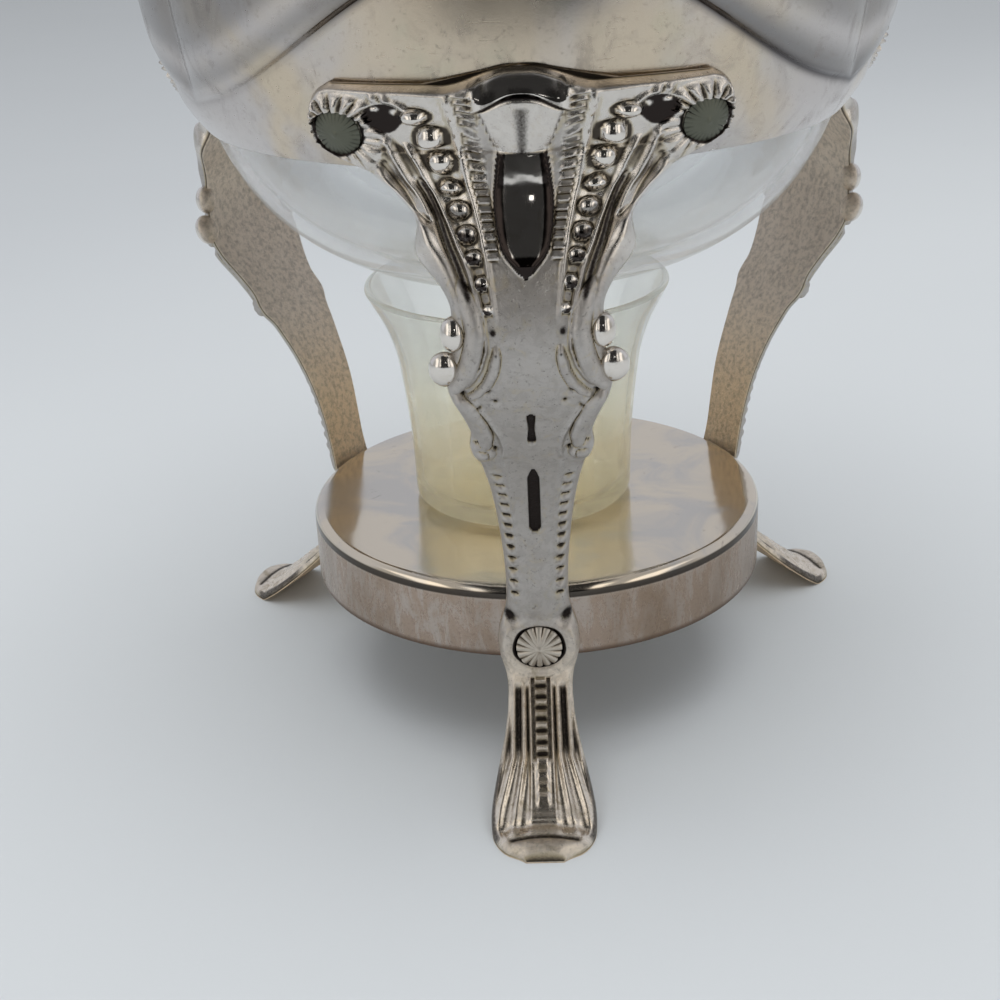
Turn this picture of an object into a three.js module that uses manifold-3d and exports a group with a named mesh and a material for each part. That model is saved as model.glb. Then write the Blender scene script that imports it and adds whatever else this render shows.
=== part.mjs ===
// Coffee carafe on a warming stand: a glass carafe with a silver-plated neck mount, handle and hinged lid
// stands in the collar of a three-legged stand, over a glass candle cup on a round base plate.
// Millimetres, +Z up. The front leg points to -Y, the handle to +Y. The finished assembly is set down on
// the plane z = 0 with the middle of its footprint at the origin.
import * as THREE from "three";
import { mergeVertices } from "three/addons/utils/BufferGeometryUtils.js";
import Module from "manifold-3d";

const wasm = await Module();
wasm.setup();

// Clearances
const seatGap = 0.3; // between pieces that rest on each other
const runGap = 0.3; // round the hinge pin and between the knuckles
const shankGap = 0.3; // round a rivet's shank
const cutOverrun = 3; // how far a cutter runs past what it cuts

// Base plate, an inverted pan
const plateRadius = 52;
const plateTopHeight = 43.6;
const skirtDepth = 16.5;
const plateEdgeRadius = 3;
const plateWall = 1.2;

// Glass globe: squarish round bottom, rounder shoulder, straight neck with a small lip
const globeRadius = 68.6;
const globeDrop = 60.2; // from the widest place down to the bottom
const globeRise = 70; // from the widest place up to where the shoulder would close
const glassWall = 2.2;
const glassFloor = 3.4;
const glassNeckRadius = 31;
const glassNeckFlare = 7.4; // height of the bend between shoulder and neck
const glassNeckLength = 14;
const bottomSquareness = 2.5;
const shoulderSquareness = 2.1;
const globeSeatShare = 0.959; // width of the globe where the collar carries it, of its full width

// Collar
const collarBottomHeight = 133.5;
const collarDepth = 48.5;
const collarWall = 1.1;
const collarRoom = 8.4; // from the globe's widest place out to the collar's rim
const archFootRise = 10.5; // above the collar's lower edge, where two lobes meet midway between two legs
const archRise = 28;
const lobeBulge = 2.2;
const lobeEdgeWidth = 6; // over which the lobe swells above its arch
const rimWireRadius = 1.7;
const collarMouthRadius = globeRadius * globeSeatShare + seatGap + collarWall;
const collarBellyRadius = globeRadius + collarRoom;
const collarTopHeight = collarBottomHeight + collarDepth;
const archFootHeight = collarBottomHeight + archFootRise;

// Where the globe sits in the collar, and the heights that follow from it
const quarterShare = (share, squareness) => (1 - share ** squareness) ** (1 / squareness);
const globeMiddleHeight = collarBottomHeight + globeDrop * quarterShare(globeSeatShare, bottomSquareness);
const shoulderEndRadius = glassNeckRadius + 2 * glassWall;
const shoulderRise = globeRise * quarterShare(shoulderEndRadius / globeRadius, shoulderSquareness);
const shoulderTopHeight = globeMiddleHeight + shoulderRise;
const glassNeckBase = shoulderTopHeight + glassNeckFlare;
const glassLipHeight = glassNeckBase + glassNeckLength;

// Candle cup
const cupFootRadius = 25.1;
const cupRimRadius = 34.2;
const cupWall = 1.7;
const cupFloor = 3;
const cupOffset = new THREE.Vector2(-2.8, 0.7);
const cupRoomShare = 0.953; // how much of the room under the globe it stands up in
const cupHeight = cupRoomShare * (globeMiddleHeight - globeDrop - plateTopHeight - seatGap);

// Neck mount of the carafe
const mountWall = 1;
const mountSkirtDepth = 24.4; // how far it comes down over the globe's shoulder
const mountPlay = 0.7; // round the glass lip
const mountFlareWidth = 4.6;
const mountFlareHeight = 7;
const mountStep = 1; // the sleeve's ends stand this far inside the glass neck's
const spoutReach = 13; // how far the lip stands out past the rim
const spoutRise = 3;
const mountBore = glassNeckRadius + glassWall / 2 + mountPlay;
const mountMouth = mountBore + mountFlareWidth; // inside radius at its rim
const mountSkirtHeight = shoulderTopHeight - mountSkirtDepth;
const mountSleeveBase = glassNeckBase + mountStep;
const mountSleeveTop = glassLipHeight - mountStep;
const mountRimHeight = mountSleeveTop + mountFlareHeight;

// Lid and finial
const lidOverlap = 0.6; // past the inside of the rim
const lidFlange = 1.2;
const lidWall = 1.2;
const lidPlay = 0.5; // round its skirt
const lidSkirtDepth = 4;
const lidRise = 13.5;
const finialHeight = 19.5;
const finialRadius = 6.2;
const finialShankRadius = 1.6;
const finialShankLength = 5.2;
const finialNutRadius = 3.8;
const finialNutHeight = 2.2;
const lidRadius = mountMouth + lidOverlap;
const lidSkirtRadius = mountBore - lidPlay;
const lidBase = mountRimHeight + seatGap;

// Lid hinge
const hingeRise = 2.9; // above the rim
const hingeStandoff = 3.8; // behind the lid
const knuckleRadius = 2.5;
const knuckleLength = 6;
const hingePinRadius = 1.1;
const bracketKnuckleLength = 5;
const hingeArmThickness = 2;
const bracketFootShare = 0.25; // of the way up the flare below the rim
const hingeHeight = mountRimHeight + hingeRise;
const hingeReach = lidRadius + hingeStandoff;

// Handle, with its sockets and insulating washers
const handleOverhang = 47.4; // past the globe
const handleHalfWidth = 6;
const handleHalfThickness = 4.2;
const tenonRadius = 2.4;
const tenonLength = 6;
const socketRadius = 5.6;
const socketLength = 6.5;
const washerLip = 0.2;
const washerThickness = 2.4;
const upperSocketRise = 3.2; // above the foot of the sleeve
const upperSocketTilt = 15; // degrees above level
const lowerSocketRise = 10.8; // above the lower edge of the mount
const lowerSocketTilt = -4;
const washerRadius = socketRadius + washerLip;
const handleReach = globeRadius + handleOverhang;

// Cast legs
const legCount = 3;
const legSeatDepth = 20; // how far the leg comes up over the collar
const kneeStandoff = 12.8; // of its back face, past the collar's lower edge
const footLength = 34.5; // from the plate out to the toe
const legHalfWidth = 19.2; // just below the collar
const earHalfSpan = 31.6; // from the leg's middle to the middle of an ear, along the collar
const earRadius = 6;
const earRise = 8.5; // above the collar's lower edge
const legEdgeDepth = 2;
const legCrownDepth = 1.9; // how much thicker the leg is along its middle
const spoonHalfWidth = 7.7;
const spoonTopDrop = 7.5; // below the leg's top edge
const spoonTail = 17; // below the collar's lower edge
const spoonDepth = 1.7;
const topWaveDepth = 4.2;
const topWaveReach = 10; // how far down the wave of the top edge fades out
const earDroop = 2.2;
const fluteDepth = 0.6;
const bossRadius = 8.4;
const bossDepth = 3.5;
const bossDropShare = 0.727; // of the plate's skirt
const recessDepth = 0.6;
const recessRadius = 5;
const kneeReach = collarMouthRadius + kneeStandoff;
const toeReach = plateRadius + footLength;
const legTopHeight = collarBottomHeight + legSeatDepth;
const earHeight = collarBottomHeight + earRise;
const bossHeight = plateTopHeight - skirtDepth * bossDropShare;
const spoonTopHeight = legTopHeight - spoonTopDrop;
const spoonTipHeight = collarBottomHeight - spoonTail;

// Scroll balls on the edges of a leg: drop below the collar, overhang past the edge, and radius
const upperScroll = { drop: 26.3, overhang: 0.6, radius: 2.5 };
const lowerScroll = { drop: 32.8, overhang: 1.5, radius: 3 };
const curlScroll = { drop: 53.3, overhang: -0.4, radius: 2.4 };

// Rosette rivets
const rosetteRadius = 4.5;
const rosetteDome = 1.7;
const rosetteBrim = 0.7;
const rivetShankRadius = 1.5;
const rivetTailRadius = 2.5;
const rivetTailThickness = 0.8;

// Facets round a full turn
const plateFacets = 42;
const cupFacets = 27;
const collarFacets = 54;
const globeFacets = 32;
const mountFacets = 30;
const lidFacets = 27;
const smallFacets = 10;
const rivetFacets = 8;
const sphereFacets = 7;

const silver = { color: 0xb9b4ac, roughness: 0.25, metalness: 1 };
const castSilver = { color: 0xa9a298, roughness: 0.35, metalness: 1 };
const agedSilver = { color: 0x7f8272, roughness: 0.6, metalness: 0.8 };
const glass = { color: 0xdfe6e2, roughness: 0.05, metalness: 0, transparent: true, opacity: 0.4 };
const cupGlass = { color: 0xe6e4c8, roughness: 0.08, metalness: 0, transparent: true, opacity: 0.45 };
const nylon = { color: 0x2a2826, roughness: 0.5, metalness: 0 };

const turn = 2 * Math.PI;
const degrees = THREE.MathUtils.degToRad;
const lerp = THREE.MathUtils.lerp;
const clamp = THREE.MathUtils.clamp;
const legAngles = Array.from({ length: legCount }, (_, i) => (i * turn) / legCount);

// A closed geometry as a solid, and back
function solidOf(geometry) {
  const bare = new THREE.BufferGeometry();
  const flat = geometry.index ? geometry.toNonIndexed() : geometry;
  bare.setAttribute("position", flat.getAttribute("position"));
  const merged = mergeVertices(bare, 1e-4);
  return new wasm.Manifold(
    new wasm.Mesh({
      numProp: 3,
      vertProperties: merged.attributes.position.array,
      triVerts: new Uint32Array(merged.index.array),
    }),
  );
}

function geometryOf(solid) {
  const mesh = solid.getMesh();
  const geometry = new THREE.BufferGeometry();
  geometry.setAttribute("position", new THREE.BufferAttribute(mesh.vertProperties, 3));
  geometry.setIndex(new THREE.BufferAttribute(mesh.triVerts, 1));
  return geometry;
}

// A surface of revolution about Z from a profile of [radius, height] pairs, lowest pair first
function revolve(profile, facets) {
  const points = profile.map(([radius, height]) => new THREE.Vector2(radius, height));
  return new THREE.LatheGeometry(points, facets).rotateX(turn / 4);
}

// A closed skin over rings of equally many points; open ends are closed by a ladder of faces across the ring
function skin(rings, closed) {
  const count = rings[0].length;
  const positions = rings.flat().flatMap((point) => [point.x, point.y, point.z]);
  const faces = [];
  const quad = (a, b, c, d) => faces.push(a, c, b, a, d, c);
  const last = closed ? rings.length : rings.length - 1;
  for (let i = 0; i < last; i++)
    for (let k = 0; k < count; k++) {
      const here = i * count;
      const next = ((i + 1) % rings.length) * count;
      const beside = (k + 1) % count;
      quad(here + k, here + beside, next + beside, next + k);
    }
  if (!closed) {
    const end = (rings.length - 1) * count;
    for (let k = 0; k < count / 2 - 1; k++) {
      const far = count - 1 - k;
      quad(k, far, far - 1, k + 1);
      quad(end + k, end + k + 1, end + far - 1, end + far);
    }
  }
  const geometry = new THREE.BufferGeometry();
  geometry.setAttribute("position", new THREE.Float32BufferAttribute(positions, 3));
  geometry.setIndex(faces);
  return geometry;
}

// A point at an angle from the front (-Y), turning towards +X
function polar(angle, radius, height) {
  return new THREE.Vector3(radius * Math.sin(angle), -radius * Math.cos(angle), height);
}

// The same cross-section loop carried round the axis, with its radii free to change with the angle
function ringSkin(loopAt, facets) {
  const rings = [];
  for (let i = 0; i < facets; i++) {
    const angle = (i * turn) / facets;
    rings.push(loopAt(angle).map(([radius, height]) => polar(angle, radius, height)));
  }
  return skin(rings, true);
}

// A matrix that stands something built along +Z at a place, along a direction
function along(place, direction) {
  const upright = new THREE.Vector3(0, 0, 1);
  const spin = new THREE.Quaternion().setFromUnitVectors(upright, direction.clone().normalize());
  return new THREE.Matrix4().compose(place, spin, new THREE.Vector3(1, 1, 1));
}

function rod(radius, from, to, facets) {
  return revolve([[0, from], [radius, from], [radius, to], [0, to]], facets);
}

function arc(centreRadius, centreHeight, size, from, to, steps) {
  return Array.from({ length: steps + 1 }, (_, i) => {
    const angle = degrees(lerp(from, to, i / steps));
    return [centreRadius + size * Math.cos(angle), centreHeight + size * Math.sin(angle)];
  });
}

function piece(name, geometry, look) {
  const mesh = new THREE.Mesh(geometry, new THREE.MeshStandardMaterial(look));
  mesh.name = name;
  return mesh;
}

// Reads a table of [at, value] shares between its entries
function readShares(table, at) {
  const place = clamp(at, table[0][0], table.at(-1)[0]);
  const next = Math.max(table.findIndex(([level]) => level >= place), 1);
  const [low, lowValue] = table[next - 1];
  const [high, highValue] = table[next];
  return lerp(lowValue, highValue, (place - low) / (high - low));
}

// Collar

// Outer radius of the collar below the lobes, at a height
const collarShares = [[0, 0], [0.035, 0.14], [0.13, 0.43], [0.28, 0.61], [0.46, 0.76], [0.67, 0.88], [1, 1]];
function collarRadiusAt(height) {
  const share = readShares(collarShares, (height - collarBottomHeight) / collarDepth);
  return lerp(collarMouthRadius, collarBellyRadius, share);
}

// The arch under each lobe: lowest between two legs, highest over a leg
const archSharpness = 1.25;
function archHeightAt(angle) {
  const rise = (1 + Math.cos(legCount * angle)) / 2;
  return archFootHeight + archRise * rise ** archSharpness;
}

// How far a lobe stands out: nothing at the crease between two lobes, at its arch and at the rim
const creaseShare = 0.07; // of the way between two legs
const rimFadeShare = 0.8;
function lobeAt(angle, height) {
  const above = clamp((height - archHeightAt(angle)) / lobeEdgeWidth, 0, 1);
  const swell = 1 - (1 - above) ** 2;
  const share = (height - archFootHeight) / (collarTopHeight - archFootHeight);
  const fade = clamp((1 - share) / (1 - rimFadeShare), 0, 1);
  const between = ((angle * legCount) / turn + 0.5) % 1;
  const fromCrease = Math.min(between, 1 - between) / creaseShare;
  const crease = 1 - Math.exp(-fromCrease * fromCrease);
  return lobeBulge * swell * fade * crease;
}

function collarLoopAt(angle) {
  const arch = archHeightAt(angle);
  const levels = collarShares.map(([level]) => collarBottomHeight + collarDepth * level);
  const heights = levels.filter((height) => height < archFootHeight);
  heights.push(lerp(heights.at(-1), arch, 0.55), arch);
  for (const share of [0.12, 0.35, 0.62, 0.84, 1]) heights.push(lerp(arch, collarTopHeight, share));
  const outer = heights.map((height) => [collarRadiusAt(height) + lobeAt(angle, height), height]);
  const inner = outer.filter((_, i) => ![1, 5, 7].includes(i));
  return [...outer, ...inner.map(([radius, height]) => [radius - collarWall, height]).reverse()];
}

// Where an ear rivet goes through the collar, and the outward direction there
function earRivetAxis(side) {
  const span = earRadius / 2;
  const slope = (collarRadiusAt(earHeight + span) - collarRadiusAt(earHeight - span)) / (2 * span);
  const angle = (side * earHalfSpan) / (collarRadiusAt(earHeight) + seatGap);
  const place = polar(angle, collarRadiusAt(earHeight) + seatGap, earHeight);
  const direction = new THREE.Vector3(Math.sin(angle), -Math.cos(angle), -slope).normalize();
  return { place, direction };
}

function plateRivetAxis() {
  return { place: polar(0, plateRadius + seatGap, bossHeight), direction: new THREE.Vector3(0, -1, 0) };
}

function turned(axis, angle) {
  const up = new THREE.Vector3(0, 0, 1);
  return {
    place: axis.place.clone().applyAxisAngle(up, angle),
    direction: axis.direction.clone().applyAxisAngle(up, angle),
  };
}

// A round cutter along a rivet's axis, from one depth to another, measured outwards from the leg's back face
function axisCutter({ place, direction }, radius, from, to) {
  return solidOf(rod(radius, from, to, rivetFacets).applyMatrix4(along(place, direction)));
}

function rivetHole(axis, throughDepth) {
  return axisCutter(axis, rivetShankRadius + shankGap, -throughDepth - cutOverrun, throughDepth + cutOverrun);
}

function collarGeometry() {
  let solid = solidOf(ringSkin(collarLoopAt, collarFacets));
  const axes = [-1, 1].map(earRivetAxis);
  for (const angle of legAngles)
    for (const axis of axes) solid = solid.subtract(rivetHole(turned(axis, angle), collarWall));
  return geometryOf(solid);
}

function rimWireGeometry() {
  const middle = collarTopHeight + seatGap + rimWireRadius;
  const reach = collarBellyRadius - collarWall / 2;
  const ring = new THREE.TorusGeometry(reach, rimWireRadius, 5, collarFacets);
  return ring.translate(0, 0, middle);
}

// Base plate

function plateGeometry() {
  const floor = plateTopHeight - skirtDepth;
  const edge = plateEdgeRadius;
  const outer = arc(plateRadius - edge, plateTopHeight - edge, edge, 0, 90, 3);
  const inner = arc(plateRadius - edge, plateTopHeight - edge, edge - plateWall, 90, 0, 2);
  const profile = [[plateRadius, floor], ...outer, [0, plateTopHeight]];
  const under = [[0, plateTopHeight - plateWall], ...inner, [plateRadius - plateWall, floor]];
  const loop = [...under, ...profile];
  let solid = solidOf(revolve(loop, plateFacets));
  const axis = plateRivetAxis();
  for (const angle of legAngles) solid = solid.subtract(rivetHole(turned(axis, angle), plateWall));
  return geometryOf(solid);
}

// Candle cup: a straight foot, then a flare to the rim
const cupFlareShares = [
  [0.03, 0],
  [0.25, 0.03],
  [0.42, 0.1],
  [0.56, 0.19],
  [0.69, 0.3],
  [0.83, 0.55],
  [0.95, 0.88],
  [1, 1],
];
function cupGeometry() {
  const floor = plateTopHeight + seatGap;
  const outer = cupFlareShares.map(([up, out]) => [
    lerp(cupFootRadius, cupRimRadius, out),
    floor + cupHeight * up,
  ]);
  const inner = outer
    .filter(([, height]) => height > floor + 2 * cupFloor)
    .map(([radius, height]) => [radius - cupWall, height]);
  const bore = cupFootRadius - cupWall;
  const loop = [
    [0, floor],
    [cupFootRadius - cupWall, floor],
    ...outer,
    ...inner.reverse(),
    [bore, floor + cupFloor + cupWall],
    [bore - cupWall, floor + cupFloor],
    [0, floor + cupFloor],
  ];
  return revolve(loop, cupFacets).translate(cupOffset.x, cupOffset.y, 0);
}

// Glass carafe
function globeQuarter(radius, depth, squareness, from, to, steps) {
  return Array.from({ length: steps + 1 }, (_, i) => {
    const angle = lerp(from, to, i / steps);
    const out = i || from < to ? radius * Math.cos(angle) ** (2 / squareness) : 0;
    return [out, globeMiddleHeight + depth * Math.sin(angle) ** (2 / squareness)];
  });
}

// Half of the glass outline, up to the end of the shoulder, drawn in by a wall and a floor
function globeOutline(wall, floor, steps) {
  const radius = globeRadius - wall;
  const low = globeQuarter(radius, floor - globeDrop, bottomSquareness, turn / 4, 0, steps);
  const end = Math.acos(((shoulderEndRadius - wall) / radius) ** (shoulderSquareness / 2));
  const high = globeQuarter(radius, globeRise - wall, shoulderSquareness, 0, end, steps - 3);
  return [...low, ...high.slice(1)];
}

function globeGeometry() {
  const lip = glassWall / 2;
  const bore = glassNeckRadius - glassWall;
  const loop = [
    ...globeOutline(0, 0, 9),
    [glassNeckRadius, glassNeckBase],
    [glassNeckRadius, glassLipHeight - 2 * lip],
    [glassNeckRadius + lip, glassLipHeight - lip],
    [glassNeckRadius, glassLipHeight],
    [bore, glassLipHeight],
    [bore, glassNeckBase],
    ...globeOutline(glassWall, glassFloor, 7).reverse(),
  ];
  return revolve(loop, globeFacets);
}

// A point standing off the glass shoulder at a height, square to it
function offShoulder(height, distance) {
  const share = (height - globeMiddleHeight) / globeRise;
  const rest = 1 - share ** shoulderSquareness;
  const radius = globeRadius * quarterShare(share, shoulderSquareness);
  const slope = (radius * share ** (shoulderSquareness - 1)) / rest / globeRise;
  const outward = new THREE.Vector2(1, slope).normalize();
  return [radius + distance * outward.x, height + distance * outward.y];
}

// Neck mount: a skirt on the globe's shoulder, a sleeve round the neck and a rim drawn out to a pouring lip.
// One face of it at an angle, its inner face or, a layer further out, its outer one.
const spoutHalfAngle = degrees(17);
const spoutCurve = 1.7;
const skirtShares = [0, 0.3, 0.6, 0.82, 1];
function mountFaceAt(angle, layer) {
  const bend = Math.atan2(Math.sin(angle), Math.cos(angle)) / spoutHalfAngle;
  const pull = Math.exp(-bend * bend);
  const pairs = skirtShares.map((share) => {
    const stand = seatGap * (1 + share);
    return offShoulder(lerp(mountSkirtHeight, shoulderTopHeight, share), stand + layer);
  });
  pairs.push([mountBore + layer, mountSleeveBase], [mountBore + layer, mountSleeveTop]);
  pairs.push([lerp(mountBore, mountMouth, 0.4) + layer, lerp(mountSleeveTop, mountRimHeight, 0.6)]);
  pairs.push([mountMouth + layer, mountRimHeight]);
  return pairs.map(([radius, height]) => {
    const up = clamp((height - mountSleeveBase) / (mountRimHeight - mountSleeveBase), 0, 1);
    const drawn = pull * up ** spoutCurve;
    return [radius + spoutReach * drawn, height + spoutRise * drawn];
  });
}

function mountLoopAt(angle) {
  return [...mountFaceAt(angle, mountWall), ...mountFaceAt(angle, 0).reverse()];
}

// The space of the neck mount and all inside it, grown by the seat gap, to trim what is soldered on it
function mountClearanceSolid() {
  const outer = mountFaceAt(turn / 2, mountWall);
  const grown = outer.map(([radius, height]) => [radius + seatGap, height]);
  const loop = [[0, mountSkirtHeight - cutOverrun], [grown[0][0], mountSkirtHeight - cutOverrun], ...grown];
  return solidOf(revolve([...loop, [0, mountRimHeight]], mountFacets));
}

// Lid: a low dome with a flange on the rim and a skirt inside it, and the middle knuckle of the hinge
const lidDomeShares = [[0.97, 0.09], [0.9, 0.3], [0.76, 0.52], [0.58, 0.72], [0.36, 0.88], [0.18, 0.97]];
function lidGeometry() {
  const domeBase = lidBase + lidFlange;
  const outer = lidDomeShares.map(([out, up]) => [lidRadius * out, domeBase + lidRise * up]);
  const inner = outer.map(([radius, height]) => [radius - lidWall * (radius / lidRadius), height - lidWall]);
  const bore = finialShankRadius + shankGap;
  const crown = domeBase + lidRise;
  const skirtInside = lidSkirtRadius - lidWall;
  const loop = [
    [lidSkirtRadius, lidBase - lidSkirtDepth],
    [lidSkirtRadius, lidBase],
    [lidRadius, lidBase],
    [lidRadius, domeBase],
    ...outer,
    [bore, crown],
    [bore, crown - lidWall],
    ...inner.slice(1).reverse(),
    [skirtInside, domeBase],
    [skirtInside, lidBase - lidSkirtDepth],
  ];
  const dome = solidOf(revolve([...loop, loop[0]], lidFacets));
  const knuckle = crossRod(knuckleRadius, knuckleLength / 2, 0);
  const arm = hingeArm(knuckleLength / 2, lidRadius - lidSkirtDepth, domeBase - lidFlange / 2);
  const bored = knuckle.add(arm).add(dome).subtract(pinBore());
  return geometryOf(bored);
}

// A rod along X on the hinge's axis, reaching from one distance either side of it to another
function crossRod(radius, halfLength, shift) {
  const bar = rod(radius, -halfLength, halfLength, smallFacets).rotateY(turn / 4);
  return solidOf(bar.translate(shift, hingeReach, hingeHeight));
}

function pinBore() {
  const length = knuckleLength / 2 + runGap + bracketKnuckleLength + cutOverrun;
  return crossRod(hingePinRadius + runGap, length, 0);
}

// A flat arm from the hinge's axis to a place nearer the carafe's axis
function hingeArm(halfLength, reach, height) {
  const run = new THREE.Vector2(hingeReach - reach, hingeHeight - height);
  const arm = new THREE.BoxGeometry(2 * halfLength, run.length(), hingeArmThickness);
  arm.rotateX(Math.atan2(run.y, run.x));
  return solidOf(arm.translate(0, (hingeReach + reach) / 2, (hingeHeight + height) / 2));
}

// The bracket soldered behind the rim, with a knuckle on each side of the lid's
function hingeBracketGeometry() {
  const inside = knuckleLength / 2 + runGap;
  const span = inside + bracketKnuckleLength;
  const middle = inside + bracketKnuckleLength / 2;
  const foot = lerp(mountSleeveTop, mountRimHeight, bracketFootShare);
  const saddleTop = mountRimHeight - seatGap;
  const back = hingeReach + knuckleRadius;
  const saddle = new THREE.BoxGeometry(2 * span, back - mountBore, saddleTop - foot);
  let solid = solidOf(saddle.translate(0, (back + mountBore) / 2, (saddleTop + foot) / 2));
  for (const side of [-1, 1]) {
    const cheek = new THREE.BoxGeometry(bracketKnuckleLength, 2 * knuckleRadius, hingeHeight - foot);
    cheek.translate(side * middle, hingeReach, (hingeHeight + foot) / 2);
    solid = solid.add(solidOf(cheek)).add(crossRod(knuckleRadius, bracketKnuckleLength / 2, side * middle));
  }
  return geometryOf(solid.subtract(mountClearanceSolid()).subtract(pinBore()));
}

function hingePinGeometry() {
  const length = knuckleLength + 2 * runGap + 2 * bracketKnuckleLength;
  const bar = rod(hingePinRadius, -length / 2, length / 2, smallFacets).rotateY(turn / 4);
  return bar.translate(0, hingeReach, hingeHeight);
}

// Finial: a turned bud with a threaded shank through the lid's crown, held by a nut
const finialShares = [
  [0.72, 0],
  [0.72, 0.06],
  [0.4, 0.16],
  [0.34, 0.3],
  [0.78, 0.42],
  [1, 0.56],
  [0.92, 0.7],
  [0.55, 0.87],
  [0.2, 0.96],
];
function finialGeometry() {
  const seat = lidBase + lidFlange + lidRise + seatGap;
  const bud = finialShares.map(([out, up]) => [finialRadius * out, seat + finialHeight * up]);
  const shankEnd = seat - finialShankLength;
  const shank = [[0, shankEnd], [finialShankRadius, shankEnd], [finialShankRadius, seat]];
  return revolve([...shank, ...bud, [0, seat + finialHeight]], smallFacets);
}

function finialNutGeometry() {
  const top = lidBase + lidFlange + lidRise - lidWall - seatGap;
  const bore = finialShankRadius + shankGap;
  const low = top - finialNutHeight;
  const loop = [[bore, low], [finialNutRadius, low], [finialNutRadius, top], [bore, top], [bore, low]];
  return revolve(loop, 6);
}

// Handle

// A socket's place on the neck mount and its direction, both in the plane x = 0
function socketAxis(height, tilt) {
  const outer = mountFaceAt(turn / 2, mountWall);
  const at = outer.findIndex(([, level]) => level >= height);
  const [low, high] = [outer[at - 1], outer[at]];
  const radius = lerp(low[0], high[0], (height - low[1]) / (high[1] - low[1]));
  const angle = degrees(tilt);
  return {
    place: new THREE.Vector3(0, radius, height),
    direction: new THREE.Vector3(0, Math.cos(angle), Math.sin(angle)),
  };
}
const upperSocket = socketAxis(mountSleeveBase + upperSocketRise, upperSocketTilt);
const lowerSocket = socketAxis(mountSkirtHeight + lowerSocketRise, lowerSocketTilt);
const washerStart = socketLength + seatGap;
const handleStart = washerStart + washerThickness + seatGap;
const socketBoreDepth = tenonLength - washerThickness - seatGap;

function socketGeometry(axis) {
  const body = rod(socketRadius, -cutOverrun * 2, socketLength, smallFacets);
  const boreEnd = socketLength + cutOverrun;
  const bore = rod(tenonRadius + seatGap, socketLength - socketBoreDepth, boreEnd, smallFacets);
  const hole = solidOf(bore.applyMatrix4(along(axis.place, axis.direction)));
  const blank = solidOf(body.applyMatrix4(along(axis.place, axis.direction)));
  return geometryOf(blank.subtract(hole).subtract(mountClearanceSolid()));
}

function washerGeometry(axis) {
  const bore = tenonRadius + seatGap;
  const end = washerStart + washerThickness;
  const loop = [
    [bore, washerStart],
    [washerRadius, washerStart],
    [washerRadius, end],
    [bore, end],
    [bore, washerStart],
  ];
  return revolve(loop, smallFacets).applyMatrix4(along(axis.place, axis.direction));
}

// The grip runs from the upper socket, out and down, and back in to the lower one
function handleCurve() {
  const start = upperSocket.place.clone().addScaledVector(upperSocket.direction, handleStart);
  const end = lowerSocket.place.clone().addScaledVector(lowerSocket.direction, handleStart);
  const reach = handleReach - handleHalfThickness;
  const span = start.z - end.z;
  const outline = [
    [0.24, 0.28],
    [0.56, 0.41],
    [0.86, 0.16],
    [1, -0.43],
    [0.975, -1],
    [0.84, -1.38],
    [0.65, -1.42],
    [0.47, -1.2],
  ];
  const pointAt = (out, up) => new THREE.Vector3(0, lerp(start.y, reach, out), start.z + span * up);
  const middle = outline.map(([out, up]) => pointAt(out, up));
  const lead = start.clone().addScaledVector(upperSocket.direction, handleHalfThickness);
  const tail = end.clone().addScaledVector(lowerSocket.direction, handleHalfThickness);
  return new THREE.CatmullRomCurve3([start, lead, ...middle, tail, end], false, "centripetal");
}

const handleSteps = 24;
const handleSides = 8;
const handleSwellShare = 0.45;
function handleGeometry() {
  const curve = handleCurve();
  const rings = [];
  for (let i = 0; i <= handleSteps; i++) {
    const share = i / handleSteps;
    const middle = curve.getPointAt(share);
    const tangent = curve.getTangentAt(share);
    const outward = new THREE.Vector3(0, -tangent.z, tangent.y);
    const swell = lerp(1 - handleSwellShare / 2, 1, Math.sin(share * Math.PI));
    const ring = [];
    for (let k = 0; k < handleSides; k++) {
      const angle = ((k + 0.5) * turn) / handleSides;
      const point = middle.clone();
      point.x += handleHalfWidth * swell * Math.cos(angle);
      point.addScaledVector(outward, handleHalfThickness * swell * Math.sin(angle));
      ring.push(point);
    }
    rings.push(ring);
  }
  let solid = solidOf(skin(rings, false));
  for (const axis of [upperSocket, lowerSocket]) {
    const tenon = rod(tenonRadius, handleStart - tenonLength, handleStart + tenonRadius, smallFacets);
    solid = solid.add(solidOf(tenon.applyMatrix4(along(axis.place, axis.direction))));
  }
  return geometryOf(solid);
}

// Cast leg, built at the front and turned into place

// Stations of the back face, from the top edge to the toe. The last value of each is the half-width, as a
// share of the leg's. On the collar they follow the collar's own levels, and the half-width is read from
// shares of that seat's depth. From there to the knee they are shares of the height from the plate to the
// collar and of the way from the collar's lower edge out to the knee, then, down to the plate, of the way
// from the plate out to the knee. On the foot they are shares of the skirt's height above the floor and of
// the way from the plate out to the toe.
const seatHalfShares = [
  [0, 1.42],
  [0.085, 1.47],
  [0.2, 1.58],
  [0.315, 1.72],
  [0.48, 1.88],
  [0.66, 1.95],
  [0.84, 1.92],
  [1, 1.78],
];
const upperShares = [
  [1.02, 0.34, 1.46],
  [0.975, 0.34, 1.22],
  [0.922, 0.45, 1.02],
  [0.861, 0.67, 0.97],
  [0.794, 0.91, 0.76],
];
const kneeShares = [
  [0.722, 1, 0.66],
  [0.655, 0.964, 0.7],
  [0.588, 0.871, 0.74],
  [0.516, 0.736, 0.71],
  [0.444, 0.586, 0.6],
  [0.372, 0.439, 0.52],
  [0.288, 0.3, 0.47],
  [0.199, 0.19, 0.38],
  [0.11, 0.123, 0.32],
  [0.038, 0.085, 0.31],
  [-0.02, 0.05, 0.33],
];
const skirtSeatShares = [[0.4, 0.38], [0.62, 0.39], [0.9, 0.38]];
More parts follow.
